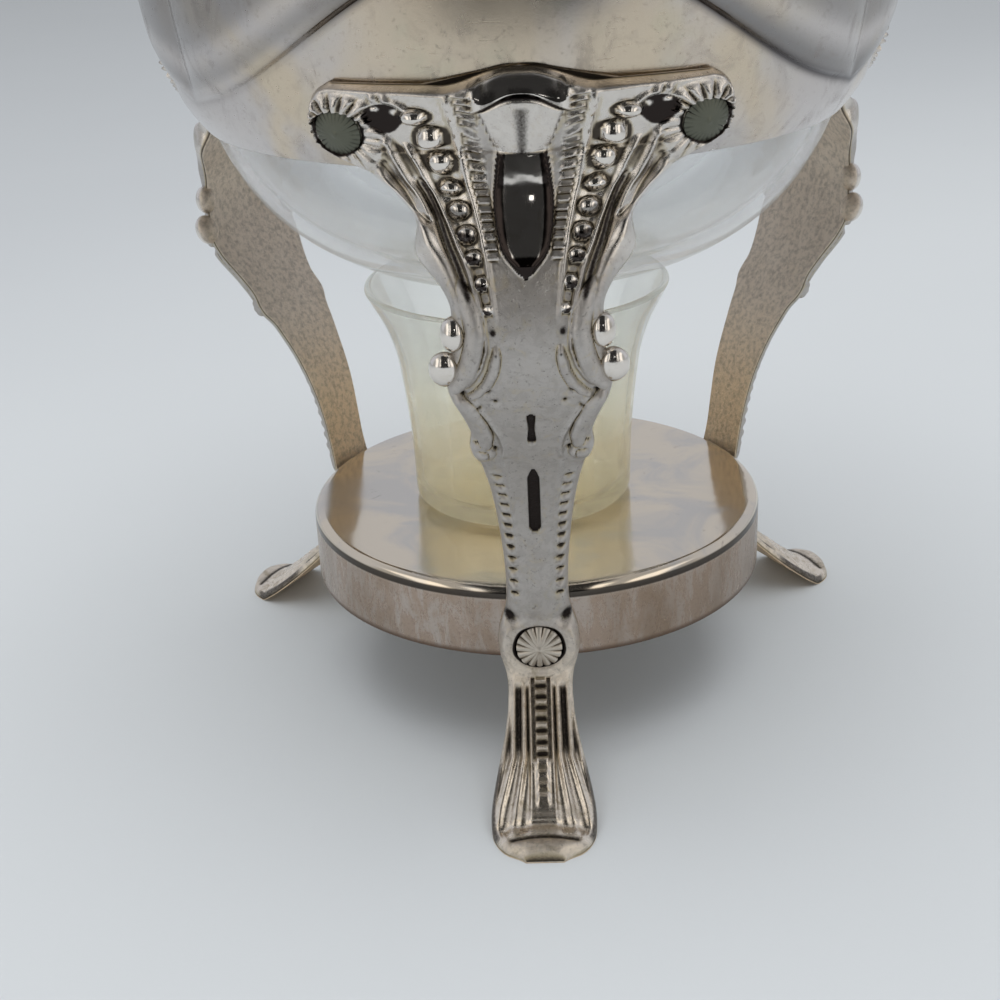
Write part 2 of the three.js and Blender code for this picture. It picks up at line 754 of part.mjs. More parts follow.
const footShares = [
  [0.92, 0.04, 0.355],
  [0.738, 0.125, 0.345],
  [0.554, 0.256, 0.38],
  [0.358, 0.412, 0.46],
  [0.185, 0.568, 0.53],
  [0.06, 0.7, 0.56],
  [0, 0.784, 0.555],
  [0, 0.9, 0.53],
  [0, 1, 0.43],
];

// Heights of the stations on the collar, highest first: its own levels above the curl of its lower edge,
// and one midway between each two
const curlShare = 0.1;
function seatHeights() {
  const levels = collarShares.filter(([level]) => level > curlShare);
  const corners = levels.map(([level]) => collarBottomHeight + collarDepth * level);
  while (corners.at(-1) >= legTopHeight) corners.pop();
  corners.push(legTopHeight);
  return corners.flatMap((height, i) => (i ? [(corners[i - 1] + height) / 2, height] : [height])).reverse();
}

function legStations() {
  const skirtBottom = plateTopHeight - skirtDepth;
  const stations = [];
  const add = (reach, half, height) => stations.push(new THREE.Vector3(reach, half * legHalfWidth, height));
  for (const height of seatHeights()) {
    const half = readShares(seatHalfShares, (height - collarBottomHeight) / legSeatDepth);
    add(collarRadiusAt(height) + seatGap, half, height);
  }
  for (const [up, out, half] of upperShares)
    add(lerp(collarMouthRadius, kneeReach, out), half, lerp(plateTopHeight, collarBottomHeight, up));
  for (const [up, out, half] of kneeShares)
    add(lerp(plateRadius, kneeReach, out), half, lerp(plateTopHeight, collarBottomHeight, up));
  for (const [down, half] of skirtSeatShares)
    add(plateRadius + seatGap, half, lerp(plateTopHeight, skirtBottom, down));
  for (const [up, out, half] of footShares) add(lerp(plateRadius, toeReach, out), half, skirtBottom * up);
  return stations;
}

const legCurve = new THREE.CatmullRomCurve3(legStations(), false, "centripetal");
const legRows = legStations().length - 1;

// A row of the leg: reach and height of the back face, the direction its depth is measured in, and half-width
function legRowAt(share) {
  const point = legCurve.getPoint(share);
  const tangent = legCurve.getTangent(share);
  const normal = new THREE.Vector2(-tangent.z, tangent.x).normalize();
  const height = Math.max(point.z, 0);
  const onFloor = clamp(height / legEdgeDepth, 0, 1);
  normal.set(normal.x * onFloor, normal.y).normalize();
  const fromEar = (height - earHeight) / earRadius;
  const ear = Math.abs(fromEar) < 1 ? earHalfSpan + earRadius * Math.sqrt(1 - fromEar * fromEar) : 0;
  return { reach: point.x, height, half: Math.max(point.y, ear), normal };
}

// How closely the leg is bent round the collar: fully at the collar, hardly at all below the knee
const flatHeightShare = 0.6; // of the way from the plate to the collar
const leastBend = 0.02;
function legBendAt(height) {
  const flat = lerp(plateTopHeight, collarBottomHeight, flatHeightShare);
  return clamp((height - flat) / (collarBottomHeight - flat), leastBend, 1);
}

// A point of the leg, out to one side of its middle and at a depth in front of its back face
function legPoint(row, out, depth) {
  const bendRadius = row.reach / legBendAt(row.height);
  const angle = out / bendRadius;
  const level = depth * row.normal.x;
  const reach = row.reach - bendRadius + (bendRadius + level) * Math.cos(angle);
  const fade = clamp((row.height - legTopHeight) / topWaveReach + 1, 0, 1);
  const wave = (topWaveDepth / 2) * (1 - Math.cos((turn * out) / (earHalfSpan - topWaveDepth / 2)));
  const droop = (earDroop * Math.abs(out)) / earHalfSpan;
  const height = row.height + depth * row.normal.y - fade * (wave + droop);
  return new THREE.Vector3((bendRadius + level) * Math.sin(angle), -reach, height);
}

// Depth of the front face: thin edges, a crowned middle, the long spoon at the top and the flutes of the foot
const crownSquareness = 2;
function legDepthAt(row, side, column) {
  const out = side * row.half;
  let depth = legEdgeDepth + legCrownDepth * (1 - Math.abs(side) ** crownSquareness);
  const down = (spoonTopHeight - row.height) / (spoonTopHeight - spoonTipHeight);
  const spoonHalf = spoonHalfWidth * Math.sqrt(clamp(1 - down, 0, 1));
  if (Math.abs(out) < spoonHalf) depth += spoonDepth * Math.sqrt(1 - (out / spoonHalf) ** 2);
  const foot = clamp(1 - row.height / (bossHeight - bossRadius), 0, 1);
  depth += column % 2 ? -fluteDepth * Math.sqrt(foot) : 0;
  return depth;
}

const legColumnShares = [-1, -0.76, -0.52, -0.28, 0, 0.28, 0.52, 0.76, 1];
function legBodySolid() {
  const rings = [];
  for (let i = 0; i <= legRows; i++) {
    const row = legRowAt(i / legRows);
    const front = legColumnShares.map((side, k) => legPoint(row, side * row.half, legDepthAt(row, side, k)));
    const back = legColumnShares.map((side) => legPoint(row, side * row.half, 0));
    rings.push([...front, ...back.reverse()]);
  }
  return solidOf(skin(rings, false));
}

// The row of the leg nearest to a height, searched from the top down to the plate
function legRowNear(height) {
  let best = legRowAt(0);
  for (let i = 1; i <= legRows * 4; i++) {
    const row = legRowAt(i / (legRows * 4));
    if (Math.abs(row.height - height) < Math.abs(best.height - height)) best = row;
  }
  return best;
}

function scrollBall({ drop, overhang, radius }, side) {
  const ball = new THREE.SphereGeometry(radius, sphereFacets, 4);
  const row = legRowNear(collarBottomHeight - drop);
  const centre = legPoint(row, side * (row.half + overhang), legEdgeDepth);
  return solidOf(ball.translate(centre.x, centre.y, centre.z));
}

function legGeometry() {
  let solid = legBodySolid();
  for (const side of [-1, 1])
    for (const scroll of [upperScroll, lowerScroll, curlScroll]) solid = solid.add(scrollBall(scroll, side));
  const plateAxis = plateRivetAxis();
  solid = solid.add(axisCutter(plateAxis, bossRadius, 0, bossDepth));
  const recessFloor = bossDepth - recessDepth;
  solid = solid.subtract(axisCutter(plateAxis, recessRadius, recessFloor, bossDepth + cutOverrun));
  solid = solid.subtract(rivetHole(plateAxis, bossDepth));
  for (const side of [-1, 1]) {
    const axis = earRivetAxis(side);
    const face = legEdgeDepth;
    solid = solid.subtract(axisCutter(axis, recessRadius, face, face + cutOverrun));
    solid = solid.subtract(rivetHole(axis, face));
  }
  return geometryOf(solid);
}

// Rosette rivet along its axis: domed head on the face of the leg, shank, and tail inside the sheet behind it
function rosetteGeometry({ place, direction }, face, wall) {
  const seat = face + seatGap;
  const tailTop = -wall - 3 * seatGap;
  const tail = tailTop - rivetTailThickness;
  const crown = seat + rosetteDome;
  const loop = [
    [0, tail],
    [rivetTailRadius, tail],
    [rivetTailRadius, tailTop],
    [rivetShankRadius, tailTop],
    [rivetShankRadius, seat],
    [rosetteRadius, seat],
    [rosetteRadius, seat + rosetteBrim],
    [lerp(0, rosetteRadius, 0.7), lerp(seat + rosetteBrim, crown, 0.7)],
    [0, crown],
  ];
  return revolve(loop, rivetFacets).applyMatrix4(along(place, direction));
}

// The stand

const legNames = ["front", "back_right", "back_left"];

function stand() {
  const group = new THREE.Group();
  group.add(piece("base_plate", plateGeometry(), silver));
  group.add(piece("collar", collarGeometry(), silver));
  group.add(piece("collar_rim_wire", rimWireGeometry(), silver));
  const leg = legGeometry();
  legAngles.forEach((angle, i) => {
    const assembly = new THREE.Group();
    assembly.rotation.z = angle;
    assembly.add(piece(`leg_${legNames[i]}`, leg, castSilver));
    const plateRosette = rosetteGeometry(plateRivetAxis(), bossDepth - recessDepth, plateWall);
    assembly.add(piece(`plate_rosette_${legNames[i]}`, plateRosette, castSilver));
    for (const [side, name] of [[-1, "left"], [1, "right"]]) {
      const ear = rosetteGeometry(earRivetAxis(side), legEdgeDepth, collarWall);
      assembly.add(piece(`ear_rosette_${legNames[i]}_${name}`, ear, agedSilver));
    }
    group.add(assembly);
  });
  return group;
}

function carafe() {
  const group = new THREE.Group();
  group.add(piece("carafe_glass", globeGeometry(), glass));
  group.add(piece("neck_mount", ringSkin(mountLoopAt, mountFacets), silver));
  group.add(piece("hinge_bracket", hingeBracketGeometry(), silver));
  group.add(piece("hinge_pin", hingePinGeometry(), castSilver));
  group.add(piece("handle_socket_upper", socketGeometry(upperSocket), silver));
  group.add(piece("handle_socket_lower", socketGeometry(lowerSocket), silver));
  group.add(piece("insulator_upper", washerGeometry(upperSocket), nylon));
  group.add(piece("insulator_lower", washerGeometry(lowerSocket), nylon));
  group.add(piece("handle", handleGeometry(), castSilver));
  group.add(piece("lid", lidGeometry(), silver));
  group.add(piece("finial", finialGeometry(), castSilver));
  group.add(piece("finial_nut", finialNutGeometry(), castSilver));
  return group;
}

const root = new THREE.Group();
root.add(stand());
root.add(piece("votive_cup", cupGeometry(), cupGlass));
root.add(carafe());

// Stand the assembly on z = 0 with the middle of its footprint at the origin
const bounds = new THREE.Box3().setFromObject(root);
const footprint = bounds.getCenter(new THREE.Vector3());
root.position.set(-footprint.x, -footprint.y, -bounds.min.z);

const model = new THREE.Group();
model.add(root);

export default model;
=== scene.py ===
# Coffee carafe standing in the collar of a three-legged plated warming stand, over a glass candle cup.
# Shapes are worked out in millimetres about the stand's own upright axis, with the front leg towards -Y.
import bpy
import bmesh
import numpy as np
from mathutils import Matrix, Vector


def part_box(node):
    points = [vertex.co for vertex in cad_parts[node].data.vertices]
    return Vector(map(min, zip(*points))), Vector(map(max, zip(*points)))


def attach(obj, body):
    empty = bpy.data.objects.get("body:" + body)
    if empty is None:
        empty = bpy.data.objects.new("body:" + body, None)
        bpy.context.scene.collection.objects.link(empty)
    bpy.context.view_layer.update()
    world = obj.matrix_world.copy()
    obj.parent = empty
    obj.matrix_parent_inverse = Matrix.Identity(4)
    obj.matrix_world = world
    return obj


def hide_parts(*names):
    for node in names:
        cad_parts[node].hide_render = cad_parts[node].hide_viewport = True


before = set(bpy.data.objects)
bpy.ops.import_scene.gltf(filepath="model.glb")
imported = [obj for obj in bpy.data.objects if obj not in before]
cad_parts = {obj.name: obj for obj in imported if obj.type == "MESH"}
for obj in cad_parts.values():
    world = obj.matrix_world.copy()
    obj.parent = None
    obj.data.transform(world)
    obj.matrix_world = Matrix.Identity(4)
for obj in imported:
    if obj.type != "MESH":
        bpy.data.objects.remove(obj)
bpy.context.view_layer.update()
plateLow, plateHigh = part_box("base_plate")
axisPlace = np.array([(plateLow.x + plateHigh.x) / 2, (plateLow.y + plateHigh.y) / 2, 0.0])
print("frame loaded, stand axis at", axisPlace.round(5))


# Small helpers for numbers

def lerp(a, b, t):
    # The share t of the way from a to b
    return a + (b - a) * t


def ease(x, low, high):
    # 0 below low, 1 above high, and a smooth cubic between
    t = np.clip((x - low) / (high - low), 0, 1)
    return t * t * (3 - 2 * t)


def fall(x, low, high):
    # 1 below low and 0 above high, the same cubic turned over
    return 1 - ease(x, low, high)


def band(x, low, lowEnd, high, highEnd):
    # Rises to 1 between the first two places and falls to 0 between the last two
    return ease(x, low, lowEnd) * fall(x, high, highEnd)


def hump(x, width):
    # A bell curve, 1 at x = 0 and falling to 1/e at the width
    return np.exp(-((x / width) ** 2))


def ripple(x, period):
    # A cosine between 0 and 1, 1 at x = 0
    return 0.5 + 0.5 * np.cos(2 * np.pi * x / period)


def cap(distance, radius, height):
    # A ball's cap: an ellipse of the given radius and height, nothing outside it
    return height * np.sqrt(np.clip(1 - (distance / radius) ** 2, 0, 1))


def arc(share):
    # Quarter circle: steep at 0, level at 1
    return np.sqrt(1 - (1 - np.clip(share, 0, 1)) ** 2)


def circle(steps):
    # Angles of even steps round a full turn
    return np.linspace(0, 2 * np.pi, steps, endpoint=False)


def unit(vectors):
    # Each vector divided by its own length
    return vectors / np.linalg.norm(vectors, axis=-1, keepdims=True)


def travelled(path):
    # Distance gone at each place of a path
    return np.concatenate([[0], np.cumsum(np.linalg.norm(np.diff(path, axis=0), axis=1))])


def smoothPath(points, steps):
    # Centripetal Catmull-Rom curve: between two points a cubic whose end slopes come from the neighbours,
    # weighed by the square roots of the gaps
    p = np.array(points, float)
    p = np.vstack([2 * p[0] - p[1], p, 2 * p[-1] - p[-2]])
    t = np.linspace(0, 1, steps, endpoint=False)[:, None]
    parts = []
    for a, b, c, d in zip(p[:-3], p[1:-2], p[2:-1], p[3:]):
        ab, bc, cd = (max(np.linalg.norm(v), 1e-6) ** 0.5 for v in (b - a, c - b, d - c))
        m1 = ((b - a) / ab - (c - a) / (ab + bc) + (c - b) / bc) * bc
        m2 = ((c - b) / bc - (d - b) / (bc + cd) + (d - c) / cd) * bc
        parts.append(b + m1 * t + (3 * (c - b) - 2 * m1 - m2) * t**2 + (2 * (b - c) + m1 + m2) * t**3)
    return np.vstack(parts + [p[-2][None]])


def sharesPath(shares, low, high, bottom, height, steps):
    # Smooth profile through shares of the way from one radius to another and of a height
    shares = np.array(shares)
    return smoothPath(np.stack([lerp(low, high, shares[:, 0]), bottom + height * shares[:, 1]], -1), steps)


def nearLine(s, v, points):
    # Distance from each place (s, v) to a line through the points, and the share of the line passed there
    p = np.array(points, float)
    starts = travelled(p)
    best, passed = np.full(np.shape(s), 1e9), np.zeros(np.shape(s))
    for a, b, start, end in zip(p[:-1], p[1:], starts, starts[1:]):
        t = np.clip(((s - a[0]) * (b[0] - a[0]) + (v - a[1]) * (b[1] - a[1])) / (end - start) ** 2, 0, 1)
        d = np.hypot(s - lerp(a[0], b[0], t), v - lerp(a[1], b[1], t))
        passed = np.where(d < best, lerp(start, end, t) / starts[-1], passed)
        best = np.minimum(best, d)
    return best, passed


def blurred(grid, rows, columns):
    # Running mean over a window of rows, then of columns, with the border values repeated
    for axis, count in ((0, rows), (1, columns)):
        pad = [(0, 0), (0, 0)]
        pad[axis] = (count + 1, count)
        total = np.cumsum(np.pad(grid, pad, mode="edge"), axis=axis)
        start = np.arange(grid.shape[axis])
        high, low = (np.take(total, start + shift, axis=axis) for shift in (2 * count + 1, 0))
        grid = (high - low) / (2 * count + 1)
    return grid


# Small helpers for meshes

def gridFaces(rows, columns, wrapRows):
    # One quad between each four neighbouring places of a grid that is numbered row by row and closes round
    # its columns
    i, k = np.meshgrid(np.arange(rows if wrapRows else rows - 1), np.arange(columns), indexing="ij")
    below, beside = (i + 1) % rows, (k + 1) % columns
    quads = [i * columns + k, i * columns + beside, below * columns + beside, below * columns + k]
    return np.stack(quads, -1).reshape(-1, 4)


def enclosedVolume(points, quads):
    # Sum over the faces of the tetrahedra they make with the origin; negative where the faces point inwards
    a, b, c, d = (points[quads[:, k]] for k in range(4))
    return (np.cross(a, b) * c + np.cross(a, c) * d).sum() / 6


def turnedBy(points, degrees):
    # The same points turned about the stand's axis
    a = np.radians(degrees)
    x, y = points[..., 0], points[..., 1]
    return np.stack([x * np.cos(a) - y * np.sin(a), x * np.sin(a) + y * np.cos(a), points[..., 2]], -1)


def around(angle, radius, height):
    # Places at a radius and a height round the stand's axis, counted from the front
    return np.stack([radius * np.sin(angle), -radius * np.cos(angle), height + 0 * angle], -1)


def revolved(profile, steps, middle=(0.0, 0.0)):
    # Each [radius, height] pair of the profile is carried round an upright axis through the middle
    profile = np.array(profile, float)
    return around(circle(steps), profile[:, :1], profile[:, 1:]) + np.array([*middle, 0.0])


def placedAlong(points, place, direction):
    # Points built about +Z, stood at a place with their axis along a direction
    spin = Vector((0, 0, 1)).rotation_difference(Vector(direction).normalized()).to_matrix()
    return points @ np.array(spin).T + np.array(place)


def arcPairs(radius, height, size, start, end, steps):
    # Places on a circle in the [radius, height] plane, from one angle to another in degrees
    a = np.radians(np.linspace(start, end, steps))
    return np.stack([radius + size * np.cos(a), height + size * np.sin(a)], -1)


def closedFaces(grid, wrapRows):
    # Faces that close a grid round its columns. Rows close on each other, or end in a pole or in a flat face.
    rows, columns = grid.shape[:2]
    quads = gridFaces(rows, columns, wrapRows)
    ends = [np.arange(columns)[::-1], np.arange(columns) + (rows - 1) * columns]
    if enclosedVolume(grid.reshape(-1, 3), quads) < 0:
        quads = quads[:, ::-1]
        ends = [end[::-1] for end in ends]
    return quads.tolist() + ([] if wrapRows else [end.tolist() for end in ends])


def titled(name):
    # The words of a node's name, each with a capital and run together
    return "".join(word.title() for word in name.split("_"))


def makePiece(node, grids, body, slot, wrapRows=False, marks=None, sharpAngle=40.0, name=None):
    # Puts grids of places [rows, columns, 3] into one mesh of closed surfaces that takes a node's place. Marks
    # are numbers kept for each place, for the finish to read.
    grids = grids if isinstance(grids, list) else [grids]
    faces, start = [], 0
    for grid in grids:
        faces += [[start + k for k in face] for face in closedFaces(grid, wrapRows)]
        start += grid.shape[0] * grid.shape[1]
    points = np.vstack([grid.reshape(-1, 3) for grid in grids])
    mesh = bpy.data.meshes.new(name or titled(node))
    mesh.from_pydata((points * 0.001 + axisPlace).tolist(), [], faces)
    for mark, values in (marks or {}).items():
        layer = mesh.attributes.new(mark, "FLOAT", "POINT")
        layer.data.foreach_set("value", np.ascontiguousarray(values, np.float32).ravel())
    edit = bmesh.new()
    edit.from_mesh(mesh)
    bmesh.ops.remove_doubles(edit, verts=edit.verts, dist=1e-6)
    edit.to_mesh(mesh)
    edit.free()
    mesh.polygons.foreach_set("use_smooth", np.ones(len(mesh.polygons), bool))
    mesh.set_sharp_from_angle(angle=np.radians(sharpAngle))
    piece = bpy.data.objects.new(mesh.name, mesh)
    bpy.context.scene.collection.objects.link(piece)
    mesh.materials.append(finishes[slot])
    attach(piece, body)
    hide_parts(node)


# Shader helpers

class Wire:
    # An output socket that can be used in sums: each sum adds a Math node to the finish it belongs to

    def __init__(self, finish, socket):
        self.finish = finish
        self.socket = socket

    def sum(self, operation, a, b):
        return self.finish.add("ShaderNodeMath", {"operation": operation}, {0: a, 1: b})

    def __add__(self, other):
        return self.sum("ADD", self, other)

    def __sub__(self, other):
        return self.sum("SUBTRACT", self, other)

    def __rsub__(self, other):
        return self.sum("SUBTRACT", other, self)

    def __mul__(self, other):
        return self.sum("MULTIPLY", self, other)

    __radd__ = __add__
    __rmul__ = __mul__


def solid(colour):
    # Three numbers of a colour with full opacity as the fourth; a socket stays as it is
    return colour if isinstance(colour, Wire) else (*colour, 1.0)


def grey(value):
    # A colour whose three numbers are alike
    return (value,) * 3


class Finish:
    # The node tree of a material or of the world

    def __init__(self, owner):
        owner.use_nodes = True
        self.owner = owner
        self.tree = owner.node_tree
        self.tree.nodes.clear()

    def add(self, kind, settings=None, inputs=None, output=0):
        # Any other node: its settings, its inputs as numbers or wires, and which output is used
        node = self.tree.nodes.new(kind)
        for key, value in (settings or {}).items():
            setattr(node, key, value)
        for key, value in (inputs or {}).items():
            if isinstance(value, Wire):
                self.tree.links.new(value.socket, node.inputs[key])
            else:
                node.inputs[key].default_value = value
        return Wire(self, node.outputs[output]) if node.outputs else None

    def place(self, axis, kind="Object"):
        # One object coordinate in metres, or one part of the world's direction
        return self.add("ShaderNodeSeparateXYZ", {}, {0: self.add("ShaderNodeTexCoord", output=kind)}, axis)

    def height(self):
        # Height above the table in millimetres
        return self.place(2) * 1000.0

    def noise(self, size, detail=4.0, rough=0.55, warp=0.0, stretch=(1.0, 1.0, 1.0), turn=(0.0, 0.0, 0.0)):
        # Noise whose grains are about the given size in millimetres, stretched and turned
        place = {"Vector": self.add("ShaderNodeTexCoord", output="Object"),
                 "Scale": tuple(1000.0 * k for k in stretch), "Rotation": turn}
        values = {"Vector": self.add("ShaderNodeMapping", {}, place), "Scale": 1 / size, "Detail": detail,
                  "Roughness": rough, "Distortion": warp}
        return self.add("ShaderNodeTexNoise", {}, values)

    def ramp(self, value, low, high):
        # 0 below low, 1 above high, eased between
        values = {"Value": value, "From Min": low, "From Max": high}
        return self.add("ShaderNodeMapRange", {"interpolation_type": "SMOOTHSTEP"}, values)

    def band(self, value, low, lowEnd, high, highEnd):
        # The product of a rising and a falling ramp
        return self.ramp(value, low, lowEnd) * (1.0 - self.ramp(value, high, highEnd))

    def cloud(self, low, high, *pattern):
        # Noise eased from 0 to 1 between two of its values
        return self.ramp(self.noise(*pattern), low, high)

    def clouds(self, look, names):
        # One eased noise for each named pattern of a look
        return [self.cloud(*look[name]) for name in names.split()]

    def mark(self, name):
        # The number kept for each place of the mesh under a name
        return self.add("ShaderNodeAttribute", {"attribute_name": name}, output="Fac")

    def mix(self, share, a, b):
        # Colour a, and the share of the way from it to colour b
        settings = {"data_type": "RGBA", "blend_type": "MIX"}
        return self.add("ShaderNodeMix", settings, {0: share, 6: solid(a), 7: solid(b)}, 2)

    def coats(self, base, *layers):
        # Colours laid over a base one after the other, each with its share
        for share, colour in layers:
            base = self.mix(share, base, colour)
        return base

    def blend(self, share, a, b):
        # Shader a, and the share of the way from it to shader b
        return self.add("ShaderNodeMixShader", {}, {0: share, 1: a, 2: b})

    def clear(self, colour):
        # Light that passes straight through, coloured
        return self.add("ShaderNodeBsdfTransparent", {}, {"Color": solid(colour)})

    def bump(self, height, reach):
        # Reach is the height in millimetres that a value of 1 stands for
        return self.add("ShaderNodeBump", {}, {"Height": height, "Strength": 1.0, "Distance": reach * 0.001})

    def surface(self, shader):
        # Ends the tree in its shader
        self.add("ShaderNodeOutputMaterial", {}, {"Surface": shader})
        return self.owner

    def painted(self, base, rough, relief, reach, metallic=0.0):
        # An opaque surface with its colour, roughness and relief
        normal = self.bump(relief, reach)
        values = {"Base Color": base, "Metallic": metallic, "Roughness": rough, "Normal": normal}
        return self.surface(self.add("ShaderNodeBsdfPrincipled", {}, values))


def newFinish(name):
    # An empty node tree in a new material
    return Finish(bpy.data.materials.new(name))


# Finishes
# A pattern gives the noise values between which it rises, then the grain in millimetres, detail, roughness,
# warp, stretch and turn. The sheet's clouding has its two values in cloudEdge, because warm places raise it.

# The lobe colour is painted shade on the lobes, and the line colour a painted shadow line along their edge
sheetLook = dict(
    cool=(0.60, 0.565, 0.55), warm=(0.66, 0.565, 0.44), lobe=(0.27, 0.26, 0.255), smudge=(0.27, 0.24, 0.225),
    green=(0.56, 0.53, 0.41), fleck=(0.25, 0.22, 0.18), line=(0.055, 0.05, 0.055), roughness=0.17,
    clouding=(30.0, 3.0, 0.5, 0.6), cloudEdge=(0.46, 0.7), greening=(0.5, 0.66, 13.0, 4.0, 0.6),
    smudging=(0.5, 0.72, 10.0, 7.0, 0.62, 1.2, (1.0, 1.0, 0.6)),
    blotching=(0.55, 0.72, 4.5, 5.0, 0.6, 0.8, (1.0, 1.0, 1.6)), flecking=(0.56, 0.72, 1.1, 4.0, 0.65),
    scratching=(0.66, 0.72, 0.9, 2.0, 0.5, 0.3, (0.05, 1.0, 0.9), (0.2, 0.5, 0.9)),
)


def platedSheetFinish():
    # Silver plate on sheet: cloudy patches from cool to yellowish, more of them near the legs, lobes greyed by
    # painted shade with a paler painted highlight stripe, wiped smudges and fine scratches. Marks on the collar
    # say where a place is near a leg, how much painted shade it has on a lobe, and where the painted shadow
    # line runs along a lobe's edge.
    look, f = sheetLook, newFinish("Plated sheet")
    warm, lobe, line = (f.mark(m) for m in ("warm", "lobe", "line"))
    cloud = f.ramp(f.noise(*look["clouding"]) + warm * 0.22, *look["cloudEdge"])
    green, smudge, blotch, fleck, scratch = f.clouds(look, "greening smudging blotching flecking scratching")
    base = f.coats(
        f.mix(cloud, look["cool"], look["warm"]), (green * warm * 0.55, look["green"]),
        (lobe * 0.85, look["lobe"]), (smudge * (0.38 + lobe * 0.2), look["smudge"]),
        (blotch * (0.16 + lobe * 0.4), look["smudge"]), (fleck * (0.2 + warm * 0.15), look["fleck"]),
        (line * 0.92, look["line"]),
    )
    rough = look["roughness"] + smudge * 0.14 + cloud * 0.05 + scratch * 0.12 + fleck * 0.05
    relief = f.noise(22.0, 2.0, 0.5) + f.noise(0.35, 2.0, 0.6) * 0.02 - scratch * 0.02
    return f.painted(base, rough, relief, 0.12, 1.0)


plateLook = dict(
    top=(0.74, 0.65, 0.53), topCool=(0.60, 0.565, 0.52),
    skirt=(0.42, 0.33, 0.265), skirtPale=(0.52, 0.47, 0.43), skirtDark=(0.25, 0.18, 0.125),
    tarnish=(0.13, 0.085, 0.06), edge=(0.03, 0.025, 0.022),
    skirtEnd=(40.0, 42.5), darkReflectionBand=(40.5, 40.9, 42.0, 42.4), lowEdge=(27.6, 28.9), right=(-5.0, 35.0),
    clouding=(0.4, 0.66, 19.0, 4.0, 0.55, 0.8), mottling=(0.4, 0.62, 3.2, 6.0, 0.7, 0.5, (1.0, 1.0, 0.34)),
    drifting=(0.4, 0.62, 16.0, 3.0, 0.5, 0.5, (1.0, 1.0, 0.5)), spotting=(0.64, 0.76, 5.0, 5.0, 0.6, 1.5),
)


def basePlateFinish():
    # Polished above, mottled pinkish brown down the skirt, with painted shade darkening it to the right, a
    # painted dark reflection as a band round the top's edge, and a darker lower edge
    look, f = plateLook, newFinish("Base plate")
    high = f.height()
    side, lowest = (1.0 - f.ramp(high, *look[k]) for k in ("skirtEnd", "lowEdge"))
    right = f.ramp(f.place(0) * 1000.0, *look["right"])
    cloud, mottle, drift, spot = f.clouds(look, "clouding mottling drifting spotting")
    grain = f.noise(0.7, 3.0, 0.7)
    # The skirt's drifting mottle is its own; its darkening towards the right is painted shade
    skirt = f.coats(
        look["skirt"], (mottle * 0.75, look["skirtPale"]), (drift * 0.4 + right * 0.42, look["skirtDark"]),
        (f.ramp(grain, 0.5, 0.75) * 0.35, look["tarnish"]),
    )
    base = f.coats(
        f.mix(cloud, look["top"], look["topCool"]), (side, skirt), (lowest * 0.85, look["tarnish"]),
        # painted dark reflection: a thin near-black band just under the top's rounded edge
        (f.band(high, *look["darkReflectionBand"]) * 0.92, look["edge"]),
        (spot * (1.0 - side) * 0.3, look["tarnish"]),
    )
    rough = 0.1 + cloud * 0.07 + side * 0.13 + mottle * side * 0.1 + lowest * 0.15
    return f.painted(base, rough, f.noise(13.0, 2.0, 0.5) + grain * side * 0.05, 0.1, 1.0)


castLook = dict(
    bright=(0.80, 0.755, 0.70), satin=(0.50, 0.475, 0.45), brown=(0.36, 0.29, 0.19), tarnish=(0.60, 0.53, 0.37),
    dark=(0.030, 0.024, 0.022), inside=(0.74, 0.65, 0.55), insideGold=(0.80, 0.60, 0.37), goldEnd=(52.0, 84.0),
    insideSpot=(0.20, 0.17, 0.135), footTint=(0.88, 0.78, 0.65), patch=(0.33, 0.30, 0.28),
    clouding=(0.4, 0.68, 7.0, 5.0, 0.6, 0.8), patching=(0.44, 0.6, 2.2, 5.0, 0.7, 0.6),
    pitting=(0.6, 0.7, 0.9, 3.0, 0.6), tinging=(0.46, 0.7, 3.2, 4.0, 0.6, 1.0),
    speckling=(0.6, 0.72, 0.45, 3.0, 0.7), speckArea=(0.4, 0.6, 5.0, 3.0, 0.6),
    insideSpots=(0.4, 0.7, 1.3, 4.0, 0.7),
)


